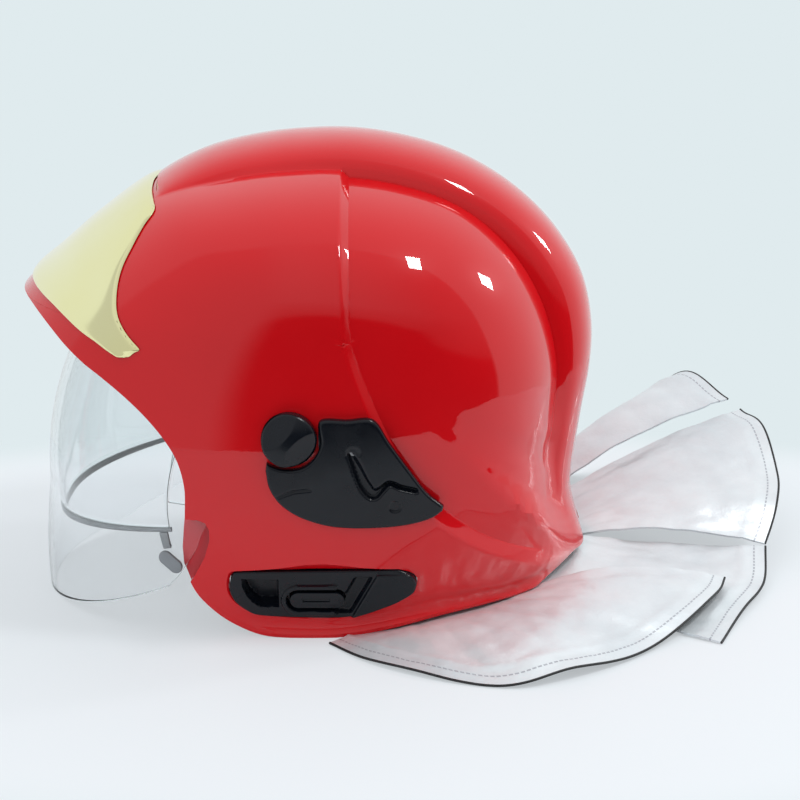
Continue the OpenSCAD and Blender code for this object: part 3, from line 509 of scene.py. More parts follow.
def mat_webbing(pitch=1.3):
    """Plain weave from the piece's own UV map, which is in millimetres, as the pitch is."""
    m, nt, b = principled("black_webbing", (0.02, 0.02, 0.022), 0.75, Sheen_Weight=0.3)
    uv = axes_of(nt, "UV")
    warp, weft = (math_of(nt, "SINE", math_of(nt, "MULTIPLY_ADD", uv[k], math.pi / pitch, shift))
                  for k, shift in ((0, 0.0), (1, 0.6)))
    height = math_of(nt, "MULTIPLY_ADD", math_of(nt, "MULTIPLY", warp, weft), 0.5, 0.5)
    tint(nt, b, height, (0.008, 0.008, 0.009), (0.04, 0.04, 0.043), (0.2, 0.8))
    bump(nt, b, height, 0.0003, 0.8)
    return m


def mat_silver(seam=6.5, thread=0.45, stitch=2.2, pitch=3.2):
    """Aluminised cloth: a bright crinkled film with a stitched hem, in a UV map in millimetres from the hem."""
    m, nt, b = principled("silvered_cloth", (0.82, 0.85, 0.87), 0.36, 0.32, Specular_IOR_Level=0.6)
    tint(nt, b, noise_of(nt, 16.0, 5, 0.6), (0.68, 0.73, 0.76), (0.84, 0.88, 0.90))
    vary_rough(nt, b, noise_of(nt, 45.0, 5, 0.65), 0.30, 0.50)
    bump(nt, b, noise_of(nt, 28.0, 6, 0.62), 0.0022, 0.45)
    bump(nt, b, noise_of(nt, 160.0, 4, 0.6), 0.0004, 0.5)
    bump(nt, b, noise_of(nt, 1500.0, 1), 0.00005, 0.6)
    uv = axes_of(nt, "UV")
    line = math_of(nt, "LESS_THAN", math_of(nt, "ABSOLUTE", math_of(nt, "SUBTRACT", uv["Y"], seam)), thread)
    sewn = math_of(nt, "MULTIPLY", line, math_of(nt, "LESS_THAN", math_of(nt, "MODULO", uv["X"], pitch), stitch))
    film = b.inputs["Base Color"].links[0].from_socket
    nt.links.new(blend(nt, sewn, film, (0.48, 0.50, 0.54, 1)), b.inputs["Base Color"])
    bump(nt, b, sewn, -0.0006, 0.8)
    return m


GOLD, STEEL, FOAM, WEB, KNIT, SILVER = mat_gold(), mat_steel(), mat_foam(), mat_webbing(), mat_knit(), mat_silver()
CLEAR, CLEAR_IN = mat_clear("clear_shield"), mat_clear("clear_ocular")
LINING = mat_plastic("black_lining", (0.007, 0.007, 0.008), 0.8, 700, 0.0002)
PIPING = mat_plastic("black_piping", (0.008, 0.008, 0.009), 0.55, 600, 0.0001)


# Outer shell
# Directions between which the shell's meridians are spread evenly, over the crest from brim to nape
ARCH = [TIP_DIR, 5, 9, 14, 20, 26, 30.2, 31.4, 38, 46, 54, 62, 70, 78, 84, STEP_DIR, 89.5, 91.5, 96, 103, 111,
        120, 129, 138, 147, 156, 165, 174, 183, 192, 200, 207, 213, 218, 222, 225.3, NAPE_DIR]
# Half widths of the crest and the share of its height there
CREST_PROFILE = [(42.4, 0.05), (41.8, 0.15), (41, 0.26), (40, 0.36), (38.5, 0.465), (36.5, 0.56), (34, 0.65),
                 (31, 0.73), (27, 0.81), (22, 0.88), (16, 0.94), (8, 0.985), (0, 1.0)]
# Rows of points from the pole to the crest, and how narrow the step's rolled edge is on the inside
PLAIN_ROWS, INNER_ROLL = 52, 0.45


def rim_fan(a0, a1, n):
    """Directions and width fractions between a rim corner on the middle plane and the next rim point."""
    return [(a0 + (a1 - a0) * (i / n) ** 2, i / n) for i in range(1, n)]


def shell_columns():
    """(direction, kind, radius at the rim or width fraction) for each meridian of the left half."""
    cols = []
    for a, b in zip(ARCH[:-1], ARCH[1:]):
        n = {26: 4, 84: 12}.get(a, max(1, int(round((b - a) / 1.6))))
        cols += [(a + (b - a) * i / n, "arch", 0.0) for i in range(n)]
    cols.append((NAPE_DIR, "arch", 0.0))
    first, last = ([float(c) for c in polar(RIM[k])] for k in (1, -2))
    cols += [(a, "fan_nape", f) for a, f in rim_fan(NAPE_DIR, first[0], 14)]
    a, r = polar(smooth_loop(RIM, 4, False)[4:-4])
    a = np.where(a < 100, a + 360, a)
    keep = [0]
    for i in range(1, len(a)):
        if a[i] > a[keep[-1]] + 0.05:
            keep.append(i)
    cols += [(float(a[i]), "rim", float(r[i])) for i in keep]
    cols += [(a, "fan_tip", f) for a, f in rim_fan(TIP_DIR + 360, last[0] + 360, 5)[::-1]]
    return cols, first, last


def shell_half(o_front, lip, roll):
    """Rows of points from the pole outward, one for each meridian, on one surface of the shell."""
    cols, first, last = shell_columns()
    rows = []
    for a, kind, v in cols:
        rear = kind == "arch" and a > STEP_DIR - 0.01
        o = o_front - STEP_H * rear
        full = float(reach(a)) + o

        def sunk(p):
            return 0.0 if rear else rolled(STEP_LINE, p, roll)

        def level(p):
            return soft_level(p, o - sunk(p), o_front, roll)

        pts = []
        if kind == "arch":
            edge = CREST_W + o_front + CREST_FLANK
            o_top = o - sunk(bowed(a, float(side_r(a, edge, o)), full))
            stop = float(side_r(a, edge, o_top))
            for k in range(1, PLAIN_ROWS + 1):
                p = bowed(a, full * math.sin(math.asin(min(1, stop / full)) * k / PLAIN_ROWS), full)
                pts.append((p[0], -float(side_y(p[0], p[1], level(p))), p[1]))
            up = crest_up(a)
            for y, h in CREST_PROFILE:
                yy = y * (CREST_W + o_front) / CREST_W
                base = o_top + (o_front - o_top) * min(1.0, up / 1.5)
                p = POLE + towards(a) * (float(side_r(a, yy, base)) + up * h)
                pts.append((p[0], -yy, p[1]))
            pts[-1] = (pts[-1][0], 0.0, pts[-1][2])
        else:
            if kind == "rim":
                end = min(full, v)
            else:
                ra, rr = first if kind == "fan_nape" else last
                q = POLE + towards(ra) * rr
                end = float(side_r(a, v * float(side_y(q[0], q[1], o)), o))
            n = PLAIN_ROWS + len(CREST_PROFILE)
            for k in range(1, n + 1):
                r = full * math.sin(math.asin(min(1, end / full)) * k / n)
                p = bowed(a, r, end)
                more = (level(p) - o) * min(1.0, (end - r) / 6)
                if lip:
                    # A raised lip along the rim with a shallow hollow behind it
                    w = float(step01((a - NAPE_DIR) / 6) * step01((298 - a) / 14))
                    more += w * (1.9 * math.exp(-((end - r - 1.0) / 2.4) ** 2)
                                 - 2.0 * math.exp(-((end - r - 9.5) / 4.2) ** 2))
                if k == n and kind != "rim":
                    more = 0.0
                pts.append((p[0], -max(0.0, float(side_y(p[0], p[1], o)) + more), p[1]))
        rows.append(pts)
    return np.array(rows), cols


def build_shell():
    outer, cols = shell_half(0.0, True, 1.0)
    inner, _ = shell_half(-SHELL_T, False, INNER_ROLL)
    nape = max(i for i, c in enumerate(cols) if c[1] == "arch")
    n, m = outer.shape[:2]
    verts, faces = [], []
    for sign in (1, -1):
        base = len(verts)
        for grid, o in ((outer, 0.0), (inner, -SHELL_T)):
            start = len(verts)
            verts.extend((p[0], sign * p[1], p[2]) for p in grid.reshape(-1, 3))
            pole = len(verts)
            level = soft_level(POLE, o - STEP_H, o, 1.0 if o == 0 else INNER_ROLL)
            verts.append((POLE[0], -sign * (SHELL_W + level), POLE[1]))
            for i in range(n):
                j = (i + 1) % n
                faces.append((start + i * m, start + j * m, pole))
                faces.extend((start + i * m + k, start + i * m + k + 1, start + j * m + k + 1, start + j * m + k)
                             for k in range(m - 1))
        for i in range(nape, n):
            j = (i + 1) % n
            faces.append((base + i * m + m - 1, base + j * m + m - 1, start + j * m + m - 1, start + i * m + m - 1))
    ob = mesh_piece("helmet_shell", place(np.array(verts)), faces, [RED], 42)
    bm = bmesh.new()
    bm.from_mesh(ob.data)
    bmesh.ops.remove_doubles(bm, verts=bm.verts, dist=2e-6)
    bmesh.ops.dissolve_degenerate(bm, dist=1e-6, edges=bm.edges)
    bmesh.ops.recalc_face_normals(bm, faces=bm.faces)
    bm.to_mesh(ob.data)
    bm.free()
    return relaxed(ob, 34)


def relaxed(ob, rounds):
    """Evens out the shell round the end of its crest, where the nape is one soft bulge."""
    me = ob.data
    v = np.empty(len(me.vertices) * 3)
    me.vertices.foreach_get("co", v)
    v = v.reshape(-1, 3)
    e = np.empty(len(me.edges) * 2, np.int32)
    me.edges.foreach_get("vertices", e)
    e = e.reshape(-1, 2)
    q = v * 1000 - SHIFT
    tip = 0.5 * (step01((q[:, 0] - 128) / 16) * step01((-56 - q[:, 2]) / 22))[:, None]
    count = np.bincount(e.ravel(), minlength=len(v))[:, None]
    for _ in range(rounds):
        total = np.zeros_like(v)
        np.add.at(total, e[:, 0], v[e[:, 1]])
        np.add.at(total, e[:, 1], v[e[:, 0]])
        v = v + tip * (total / count - v)
    me.vertices.foreach_set("co", v.ravel())
    me.update()
    return ob


def cut(ob, cutters):
    for c in cutters:
        mod = ob.modifiers.new("cut", "BOOLEAN")
        mod.operation, mod.solver, mod.object = "DIFFERENCE", "EXACT", c
    apply_all(ob)
    for c in cutters:
        me = c.data
        bpy.data.objects.remove(c)
        bpy.data.meshes.remove(me)


# Placing pieces
BODY = {n: b for b, names in frame["record"]["behaviour"]["bodies"].items() for n in names}


def settle(ob, slot, *nodes, body=None):
    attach(ob, body or BODY[nodes[0]])
    if nodes:
        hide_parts(*nodes)
    return ob


def uv_of(ob, uv):
    layer = ob.data.uv_layers.new(name="UVMap")
    at = np.empty(len(ob.data.loops), np.int32)
    ob.data.loops.foreach_get("vertex_index", at)
    layer.data.foreach_set("uv", np.asarray(uv, np.float32)[at].ravel())
    return ob


def bevelled(ob, width, angle=50, sharp=50):
    mod = ob.modifiers.new("round", "BEVEL")
    mod.width, mod.segments, mod.limit_method = width * 0.001, 2, "ANGLE"
    mod.angle_limit = math.radians(angle)
    apply_all(ob)
    shade(ob, sharp)
    return ob


def softened(node_name, mat, slot, width):
    """A copy of a CAD node's mesh with its edges rounded, which stands for the node."""
    ob = bpy.data.objects.new(node_name + "_form", NODES[node_name].data.copy())
    scene.collection.objects.link(ob)
    me = ob.data
    me.materials.clear()
    me.materials.append(mat)
    bm = bmesh.new()
    bm.from_mesh(me)
    bmesh.ops.remove_doubles(bm, verts=bm.verts, dist=2e-6)
    bmesh.ops.dissolve_limit(bm, angle_limit=math.radians(0.6), verts=bm.verts, edges=bm.edges)
    for f in bm.faces:
        f.material_index = 0
    bm.to_mesh(me)
    bm.free()
    if "custom_normal" in me.attributes:
        me.attributes.remove(me.attributes["custom_normal"])
    settle(bevelled(ob, width, 30, 42), slot, node_name)


def spaced(length, edge, n):
    """Fractions along a length in millimetres, close together within a rounded edge at both ends."""
    a = np.array([0, 0.08, 0.28, 0.6, 1.0, 1.8]) * edge / length
    return np.concatenate([a, np.linspace(a[-1], 1 - a[-1], n)[1:-1], 1 - a[::-1]])


def rounded(d, r):
    """How far a rounded edge of radius r lies under the flat face at distance d from the edge."""
    d = np.clip(d, 0, r)
    return r - np.sqrt(np.maximum(0, r * r - (r - d) ** 2))


def lookup(table, a):
    t = np.asarray(table, float)
    return np.interp(a, t[:, 0], t[:, 1])


def mirrored(ob, name):
    me = ob.data.copy()
    me.transform(Matrix.Scale(-1, 4, (0, 1, 0)))
    me.flip_normals()
    twin = bpy.data.objects.new(name, me)
    scene.collection.objects.link(twin)
    return twin


def both(ob, slot, stem):
    """Settles a piece made on the left and its mirrored twin on the right."""
    twin = mirrored(ob, stem + "_form_right")
    ob.name = stem + "_form_left"
    settle(ob, slot, stem + "_left")
    settle(twin, slot, stem + "_right")


# Shell, plate and side fittings
BRACKET_MID, LEAN = (15.0, -89.0), math.radians(11)
BRACKET_EDGE = [(-32, -81), (-30.5, -77.5), (-26, -76), (10, -75.4), (49, -75), (56, -75.5), (62, -78.5),
                (64, -83), (62, -88.5), (54, -94), (45, -98), (36, -101.3), (27, -103.5), (10, -103.8),
                (-16, -102.5), (-24, -99.5), (-30, -94), (-32.5, -87.5)]
NOTCH = [(-70, -46.5), (-48, -46.5), (-44, -48), (-42, -52), (-42, -58), (-45, -68), (-50, -78),
         (-56, -88), (-70, -90)]
# Places of the plate screws, and the radii of their holes and of the spindle's
SCREWS, SCREW_HOLE, SPINDLE_HOLE = [(32, -7), (53, -36.5)], 1.65, 3.05


def on_bracket(verts, side=-1):
    """From x, outward distance and z on the leaning plane of a mask bracket to millimetres in the frame."""
    v = np.asarray(verts, float)
    y0 = float(side_y(*BRACKET_MID))
    out, up = v[:, 1], v[:, 2] - BRACKET_MID[1]
    y = out * math.cos(LEAN) + up * math.sin(LEAN) + y0
    z = -out * math.sin(LEAN) + up * math.cos(LEAN) + BRACKET_MID[1]
    return np.stack([v[:, 0], side * y, z], -1)


def make_shell():
    ob = build_shell()
    cutters = []
    edge = evened(smooth_loop(BRACKET_EDGE, 4), 72)

    def add(verts, faces):
        cutters.append(outward(mesh_piece("cut", place(verts), faces)))

    for side in (-1, 1):
        for back, grow in ((-25.0, 0.5), (-3.4, 12.5)):
            v, f = prism(edge, back, 6.0, 0.5, grow, BRACKET_MID)
            add(on_bracket(v, side), f)
        add(*prism(NOTCH, side * 90.0, side * 130.0))
        for x, z, r in [(*s, SCREW_HOLE) for s in SCREWS] + [(0, 0, SPINDLE_HOLE)]:
            ring = [(x + r * math.cos(t), z + r * math.sin(t)) for t in np.arange(24) * math.pi / 12]
            add(*prism(ring, side * 103.0, side * 133.0))
    cut(ob, cutters)
    shade(ob, 34)
    settle(ob, "red_shell", "outer_shell")


# Edges of the plate: distance from the middle plane and direction from the pole
PLATE_LOW = [(0, 4), (18, 4), (36, 4), (54, 3.7), (70, 3), (82, 1.7), (91, 0), (99, -2), (104, -4),
             (107, -5.2), (109, -4.4)]
PLATE_HIGH = [(0, 29.6), (16, 29.6), (32, 29.5), (46, 29.2), (58, 28.3), (66, 24.5), (75, 19.5), (84, 13.5),
              (92, 8.5), (100, 3.5), (109, -2.2)]
TIP_ROUND = 5.0


def make_plate():
    along, across = spaced(260, 1.3, 150), spaced(82, 1.3, 40)
    a, b = (at_fractions(smooth_loop([(-y, a) for y, a in line[:0:-1]] + line, 8, False), along)
            for line in (PLATE_LOW, PLATE_HIGH))
    mid, half = (a + b) / 2, (b - a) / 2
    near = np.clip((np.abs(mid[:, :1]) - (PLATE_LOW[-1][0] - TIP_ROUND)) / TIP_ROUND, 0, 1)
    half = half * np.sqrt(np.maximum(0.0025, 1 - near ** 2))
    grid = laid_between(mid - half, mid + half, across)
    flat = np.stack([grid[..., 0], np.radians(grid[..., 1]) * 175], -1)
    d = line_distance(flat, rim_of(flat)[::2], True)
    edge_drop = 2.3 * (1 - np.sqrt(1 - np.clip(1 - d / 7, 0, 1) ** 2.5)) + rounded(d, 0.4)

    def at(o):
        r = side_r(grid[..., 1] % 360, np.abs(grid[..., 0]), o)
        p = POLE + towards(grid[..., 1]) * r[..., None]
        return place(np.stack([p[..., 0], grid[..., 0], p[..., 1]], -1))

    ob = shell_between("frontal_plate_mirror", at(PLATE_GAP + PLATE_T - edge_drop), at(PLATE_GAP), [GOLD], 50)
    shade(ob, 50)
    settle(ob, "gold_plate", "frontal_plate")


SIDE_LOW = [(-12, -17), (-10.5, -26), (-6, -34), (1, -40), (9, -44), (19, -47), (30, -48.3), (42, -48.5),
            (54, -48), (64, -46.5), (72, -44), (77, -40.5)]
SIDE_HIGH = [(-11.5, -13), (-4, -15.8), (5, -15.5), (12, -10.5), (15.8, -2), (15.5, 9.5), (29, 10),
             (42, 10), (50, -2), (60, -17), (69, -30), (77.5, -38)]
HOOK_LINE = [(30.5, -8), (34, -17), (38, -25), (42.5, -29.5), (46.5, -26.5), (50, -23.5), (56, -26), (63, -28)]
CREASE_LINE = [(-7, -31), (2, -27.5), (10, -26.5)]
SIDE_GAP, SIDE_T = 0.4, 4.0


def make_side_plates():
    along, across = spaced(95, 1.6, 180), spaced(45, 1.6, 100)
    g = laid_between(*(at_fractions(smooth_loop(line, 10, False), along) for line in (SIDE_LOW, SIDE_HIGH)), across)
    d = line_distance(g, rim_of(g)[::2], True)
    groove = line_distance(g, smooth_loop(HOOK_LINE, 8, False))
    half = 0.7 + 1.7 * step01((48 - g[..., 0]) / 8) * step01((g[..., 0] - 29) / 8)
    top = SIDE_GAP + SIDE_T - rounded(d, 1.6) - 3.0 * step01((half + 1.4 - groove) / 2.2)
    top -= 0.7 * np.exp(-(line_distance(g, CREASE_LINE) / 0.8) ** 2)
    for screw in SCREWS:
        s = np.linalg.norm(g - np.array(screw), axis=-1)
        top = np.minimum(top, SIDE_GAP + SIDE_T - 0.8 * step01((3.6 - s) / 1.2))

    def at(o):
        return place(np.stack([g[..., 0], -side_y(g[..., 0], g[..., 1]) - o, g[..., 1]], -1))

    ob = shell_between("side_plate_form", at(top), at(SIDE_GAP), [BLACK], 50)
    shade(ob, 50)
    both(ob, "black_plastic", "side_plate")


# Mask brackets, in x, outward distance and z on their leaning plane
BRACKET_HIGH = [(-32.5, -84.5)] + BRACKET_EDGE[:7] + [(64, -82.6)]
BRACKET_LOW = [(-32.5, -85.5), (-32.3, -88.5)] + BRACKET_EDGE[16:7:-1] + [(64, -83.4)]
BRACKET_FACE, BRACKET_BACK, TONGUE_FLOOR = -1.5, -13.5, -8.5
POCKET_LEFT = [(-97, -17), (-94, -21), (-90, -24), (-85, -26), (-80, -26.5)]
TONGUE_ENDS, TONGUE_R, DIAGONAL = ((3, -92.5), (22, -92.5)), 4.6, ((29.5, -103), (43, -77))


def make_brackets():
    t = (1 - np.cos(np.linspace(0, math.pi, 60))) / 2
    x = np.concatenate([-32.5 + 10 * t[:30] / t[29], np.linspace(-22.5, 54, 176)[1:-1], 64 - 10 * t[:30][::-1] / t[29]])
    low, high = lookup(smooth_loop(BRACKET_LOW, 8, False), x), lookup(smooth_loop(BRACKET_HIGH, 8, False), x)
    u = spaced(29, 1.0, 72)
    g = np.stack(np.broadcast_arrays(x[None, :], low[None] * (1 - u[:, None]) + high[None] * u[:, None]), -1)
    X, Z = g[..., 0], g[..., 1]
    h = np.full(X.shape, BRACKET_FACE)
    # Distances: into the hook's pocket, out from the tongue, and past the diagonal edge
    left = np.interp(Z, *np.array(POCKET_LEFT, float).T)
    pocket = np.minimum(np.minimum(X - left, -7.2 - X), np.minimum(Z + 97, -80 - Z))
    tongue = line_distance(g, TONGUE_ENDS) - TONGUE_R
    open_end = step01((24 - X) / 2)
    ridge = step01((tongue - 1.5) / 0.8) * step01((4.9 - tongue) / 0.9) * open_end
    h += 1.5 * ridge
    a, b = np.array(DIAGONAL, float)
    run = (b - a) / np.linalg.norm(b - a)
    beyond = (g - a) @ np.array([run[1], -run[0]])
    valley = step01((beyond + 9.5) / 2.5) * step01(-beyond / 1.6) * step01((-78.5 - Z) / 2) * step01((Z + 101.5) / 2)
    h -= 3.4 * valley
    h += step01(beyond / 1.4) * (2.0 - 0.05 * np.clip(beyond, 0, 40)) * step01((-76.5 - Z) / 1.2)
    h = np.minimum(h, BRACKET_FACE + 6 - 9.5 * step01((2.3 - tongue) / 0.9) * (tongue > -9))
    h = np.where(tongue < 0.35, TONGUE_FLOOR, h)
    h -= (h - BRACKET_FACE + 9) * step01(pocket / 1.3)
    h -= rounded(line_distance(g, rim_of(g)[::3], True), 1.1)

    def at(level):
        v = np.stack([X, np.broadcast_to(level, X.shape), Z], -1).reshape(-1, 3)
        return place(on_bracket(v)).reshape(X.shape + (3,))

    ob = shell_between("mask_bracket_form", at(h), at(BRACKET_BACK), [BLACK], 50)
    shade(ob, 50)
    both(ob, "black_plastic", "mask_bracket")


KNOB_FACE = float(side_y(0, 0)) + 1.1
KNOB_R, KNOB_H, KNOB_ROUND, KNOB_TURN = 14.0, 9.0, 1.6, math.radians(42)


def make_knobs():
    rs = np.concatenate([np.linspace(0.6, 12.2, 40),
                         KNOB_R - KNOB_ROUND * (1 - np.sin(np.linspace(0.1, 1, 8) * math.pi / 2))])
    seg = 96
    ang = np.arange(seg) * 2 * math.pi / seg
    rows = []
    for r in rs:
        x, z = r * np.cos(ang), r * np.sin(ang)
        u = np.abs(x * math.cos(KNOB_TURN) - z * math.sin(KNOB_TURN))
        dome = 40 - math.sqrt(1600 - r * r)
        pinch = np.maximum(0, u - 2.2) * math.tan(math.radians(30))
        low = np.log(np.exp(dome * 8) + np.exp(pinch * 8)) / 8 - math.log(2) / 8
        edge = KNOB_ROUND - math.sqrt(max(0, KNOB_ROUND ** 2 - max(0, r - (KNOB_R - KNOB_ROUND)) ** 2))
        rows.append(np.stack([x, -(KNOB_FACE + KNOB_H - low - edge), z], -1))
    for r, y in ((KNOB_R, 2.2), (KNOB_R, 0.5), (KNOB_R - 0.6, 0.0)):
        rows.append(np.stack([r * np.cos(ang), np.full(seg, -(KNOB_FACE + y)), r * np.sin(ang)], -1))
    verts = np.concatenate([np.array(rows).reshape(-1, 3), [[0, -(KNOB_FACE + KNOB_H), 0]]])
    faces = grid_faces(len(rows), seg, True) + [(len(verts) - 1, (j + 1) % seg, j) for j in range(seg)]
    faces.append(tuple((len(rows) - 1) * seg + j for j in range(seg)))
    ob = outward(mesh_piece("side_knob_form", place(verts), faces, [BLACK], 60))
    both(ob, "black_plastic", "side_knob")


# Visors
def visor_y(r, rad, w):
    return w * np.power(np.clip(1 - np.minimum(1, r / rad) ** VISOR_P, 0, 1), 1 / VISOR_P)


SHIELD_R, SHIELD_W, SHIELD_T = 158.0, 112.0, 2.5
SHIELD_LOW, SHIELD_TOP, SHIELD_FLARE, FLARE_FROM = -23.0, 42.0, 16.0, -2.0
SHIELD_BACK = [(-26, 93), (-23, 84), (-16, 72), (-7, 65), (-2, 61), (4, 58), (30, 58), (42, 62)]


def make_shield():
    U, V = np.meshgrid(spaced(185, 1.0, 60), np.linspace(-1, 1, 121), indexing="ij")
    side = np.sin(np.abs(V) * math.pi / 2) ** 2
    a = (SHIELD_LOW - 3 * side) * (1 - U) + SHIELD_TOP * U
    k = np.clip((FLARE_FROM - a) / (FLARE_FROM - SHIELD_LOW), 0, 1.2)
    back = lookup(smooth_loop(SHIELD_BACK, 6, False), a)

    def at(o):
        rad = SHIELD_R + SHIELD_FLARE * k ** 1.35 + o
        t = (math.pi / 2) * (1 - np.abs(V)) + np.arcsin(back / rad) * np.abs(V)
        r = rad * np.sin(t)
        p = HINGE + towards(a) * r[..., None]
        return place(np.stack([p[..., 0], np.sign(V) * visor_y(r, rad, SHIELD_W + o), p[..., 1]], -1))

    ob = bevelled(shell_between("face_shield_lens", at(0.0), at(-SHIELD_T), [CLEAR], 50), 0.7)
    ob.visible_shadow = False
    settle(ob, "clear_shield", "face_shield")


OCULAR_R, OCULAR_W, OCULAR_T = 153.5, 105.0, 2.0
OCULAR_LOW, OCULAR_TOP, OCULAR_BACK = -7.5, 34.0, 84.0


def about_hinge(a, r, y):
    p = HINGE + towards(a) * np.asarray(r)[..., None]
    return place(np.stack([p[..., 0], np.broadcast_to(y, p.shape[:-1]), p[..., 1]], -1))


def visor_sweep(rad, w, t, r0, a0, a1, na, nv):
    """Grid over angles and across the width of a visor that is round about the hinge."""
    A, V = np.meshgrid(np.linspace(a0, a1, na), np.linspace(-1, 1, nv), indexing="ij")
    rr, ww = rad - t, w - t
    s0 = math.asin(min(1, r0 / rr))
    r = rr * np.sin(math.pi / 2 * (1 - np.abs(V)) + s0 * np.abs(V))
    return about_hinge(A, r, np.sign(V) * visor_y(r, rr, ww))


def visor_strip(name, rad, w, back, a0, a1, half, square, seg, nv, mat):
    """A strip with soft corners across the whole width, round about the hinge between two directions."""
    lines = []
    for j in range(seg):
        t = 2 * math.pi * (j + 0.5) / seg
        x, y = (math.copysign(abs(f) ** square, f) for f in (math.cos(t), math.sin(t)))
        lines.append(visor_sweep(rad, w, half - x * half, back, a0 + (a1 - a0) * (y * 0.5 + 0.5), a0, 2, nv)[0])
    return swept(name, np.array(lines).transpose(1, 0, 2), [mat])


def make_ocular():
    top, bottom = (visor_sweep(OCULAR_R, OCULAR_W, t, OCULAR_BACK, OCULAR_LOW, OCULAR_TOP, 40, 121)
                   for t in (0, OCULAR_T))
    ob = bevelled(shell_between("ocular_lens", top, bottom, [CLEAR_IN], 50), 0.5)
    ob.visible_shadow = False
    settle(ob, "clear_ocular", "ocular_visor")
    A, R = np.meshgrid(np.linspace(2, 22, 16), np.linspace(6, OCULAR_BACK - 0.6, 40), indexing="ij")
    for side, s in (("left", -1), ("right", 1)):
        top, bottom = (about_hinge(A, R, s * visor_y(R, OCULAR_R, w)) for w in (OCULAR_W, OCULAR_W - OCULAR_T))
        arm = bevelled(shell_between("ocular_arm_" + side, top, bottom, [CLEAR_IN]), 0.4)
        arm.visible_shadow = False
        settle(arm, "clear_ocular", body=BODY["ocular_visor"])


def make_trim():
    ob = visor_strip("ocular_trim_form", OCULAR_R + 0.6, OCULAR_W + 0.6, OCULAR_BACK - 1, OCULAR_LOW - 1.6,
                     OCULAR_LOW - 0.05, 1.6, 0.6, 12, 141, RUBBER)
    settle(ob, "grey_rubber", "ocular_trim")


# Webbing, pads and cloth
def ribbon(name, p, ac, width, thick, mats):
    """A woven strap along a path in metres, with its UV map in millimetres."""
    nrm = unit(np.cross(unit(np.gradient(p, axis=0)), ac))
    s = np.sin(np.linspace(-1, 1, 13) * math.pi / 2)
    t = thick / 2 * (1 - 0.75 * np.abs(s) ** 10)
    w, h = np.concatenate([s, s[::-1]]) * width / 2, np.concatenate([t, -t[::-1]])
    rings = p[:, None] + ac[:, None] * w[:, None] + nrm[:, None] * h[:, None]
    uv = np.stack(np.broadcast_arrays(w[None] * 1000, run_of(p)[:, None] * 1000), -1)
    return uv_of(swept(name, rings, mats), uv.reshape(-1, 2))


# Middle, half width and half length of the headband; top of the cradle, the step from each of its straps
# to the next and the radius of the chin strap
HEAD_X, BAND_W, BAND_L = 14.0, 75.5, 98.0
CRADLE_TOP, LAYER_STEP, CHIN_R = 82.6, 1.7, 80.0


def band_reach(turn):
    d = BAND_L - BAND_W
    c, s = math.cos(turn), math.sin(turn)
    if BAND_W * abs(c) < d * abs(s):
        return BAND_W / abs(s)
    return d * c + math.sqrt(BAND_W ** 2 - (d * s) ** 2)


def make_cradle():
    parts = []
    for layer, deg in enumerate((0, 90, 48, -48)):
        turn = math.radians(deg)
        aside = BAND_W * abs(math.cos(turn)) < (BAND_L - BAND_W) * abs(math.sin(turn))
        slant = 0 if aside else 9.0 * (BAND_L - BAND_W) * abs(math.sin(turn)) / BAND_W
        r = band_reach(turn) - 1.1 - slant - 0.7
        z0 = CRADLE_TOP - layer * LAYER_STEP - (r + 0.7)
        t = np.radians(np.linspace(-1, 181, 90))
        x, z = r * np.cos(t), z0 + r * np.sin(t)
        path = np.stack([HEAD_X + x * math.cos(turn), x * math.sin(turn), z], -1)
        ac = np.broadcast_to([-math.sin(turn), math.cos(turn), 0.0], path.shape)
        parts.append(ribbon(f"cradle_strap_{layer + 1}", place(path), ac, 0.018, 0.0014, [WEB]))
    settle(parts[0], "webbing", "cradle_straps")
    for p in parts[1:]:
        settle(p, "webbing", body=BODY["cradle_straps"])


def make_chin_strap():
    tilt = math.radians(20)
    t = np.radians(np.linspace(184, 356, 140))
    y, z = CHIN_R * np.cos(t), CHIN_R * np.sin(t)
    path = np.stack([2 + z * math.sin(tilt), y, -24 + z * math.cos(tilt)], -1)
    ac = np.broadcast_to([math.cos(tilt), 0.0, -math.sin(tilt)], path.shape)
    ob = ribbon("chin_strap_webbing", place(path), ac, 0.020, 0.002, [WEB])
    settle(ob, "webbing", "chin_strap")


def make_brow_pad():
    ob = visor_strip("brow_pad_form", 130.6, 86.6, 100, 36.0, 44.0, 4.0, 0.7, 16, 121, KNIT)
    settle(ob, "pad_cloth", "brow_pad")


PLAN_X, BAND_GAP, CURTAIN_BAND_T, CLOTH_T, FLOOR_Z = 60.0, 0.5, 1.4, 1.2, -115.0
# The least height of the cloth's middle surface above its floor
CLOTH_LEAST = FLOOR_Z + CLOTH_T / 2 + 0.05
RIM_BY_TURN = [(0, -92), (14, -93.5), (27.6, -97), (40, -101), (51.6, -103), (61, -103.5), (79.6, -106),
               (97, -111), (111, -114), (125, -115)]
HEMS = {
    "curtain_side_left": [(19, -112, -114.3), (38, -134, -114.3), (60, -150, -114.3), (86, -163, -114.3),
                          (114, -168, -114.3), (140, -158, -113), (164, -141, -113.5), (188, -118, -112.5),
                          (210, -92, -110), (226, -66, -106.5), (233, -44, -104)],
    "curtain_rear_left": [(222, -112, -114.3), (231, -90, -114.3), (241, -68, -114.3), (252, -46, -113.5),
                          (258, -28, -110), (262, -2, -101)],
    "curtain_rear_right": [(262, 0, -100), (271, 20, -89), (276, 45, -78), (276, 72, -68), (272, 98, -61),
                           (265, 124, -57)],
    "curtain_side_right": [(258, 130, -52), (237, 160, -46), (214, 168, -66), (192, 171, -90),
                           (168, 172, -112), (140, 168, -114.3), (114, 162, -114.3), (86, 153, -114.3),
                           (60, 142, -114.3), (38, 128, -114.3), (19, 112, -114.3)],
}
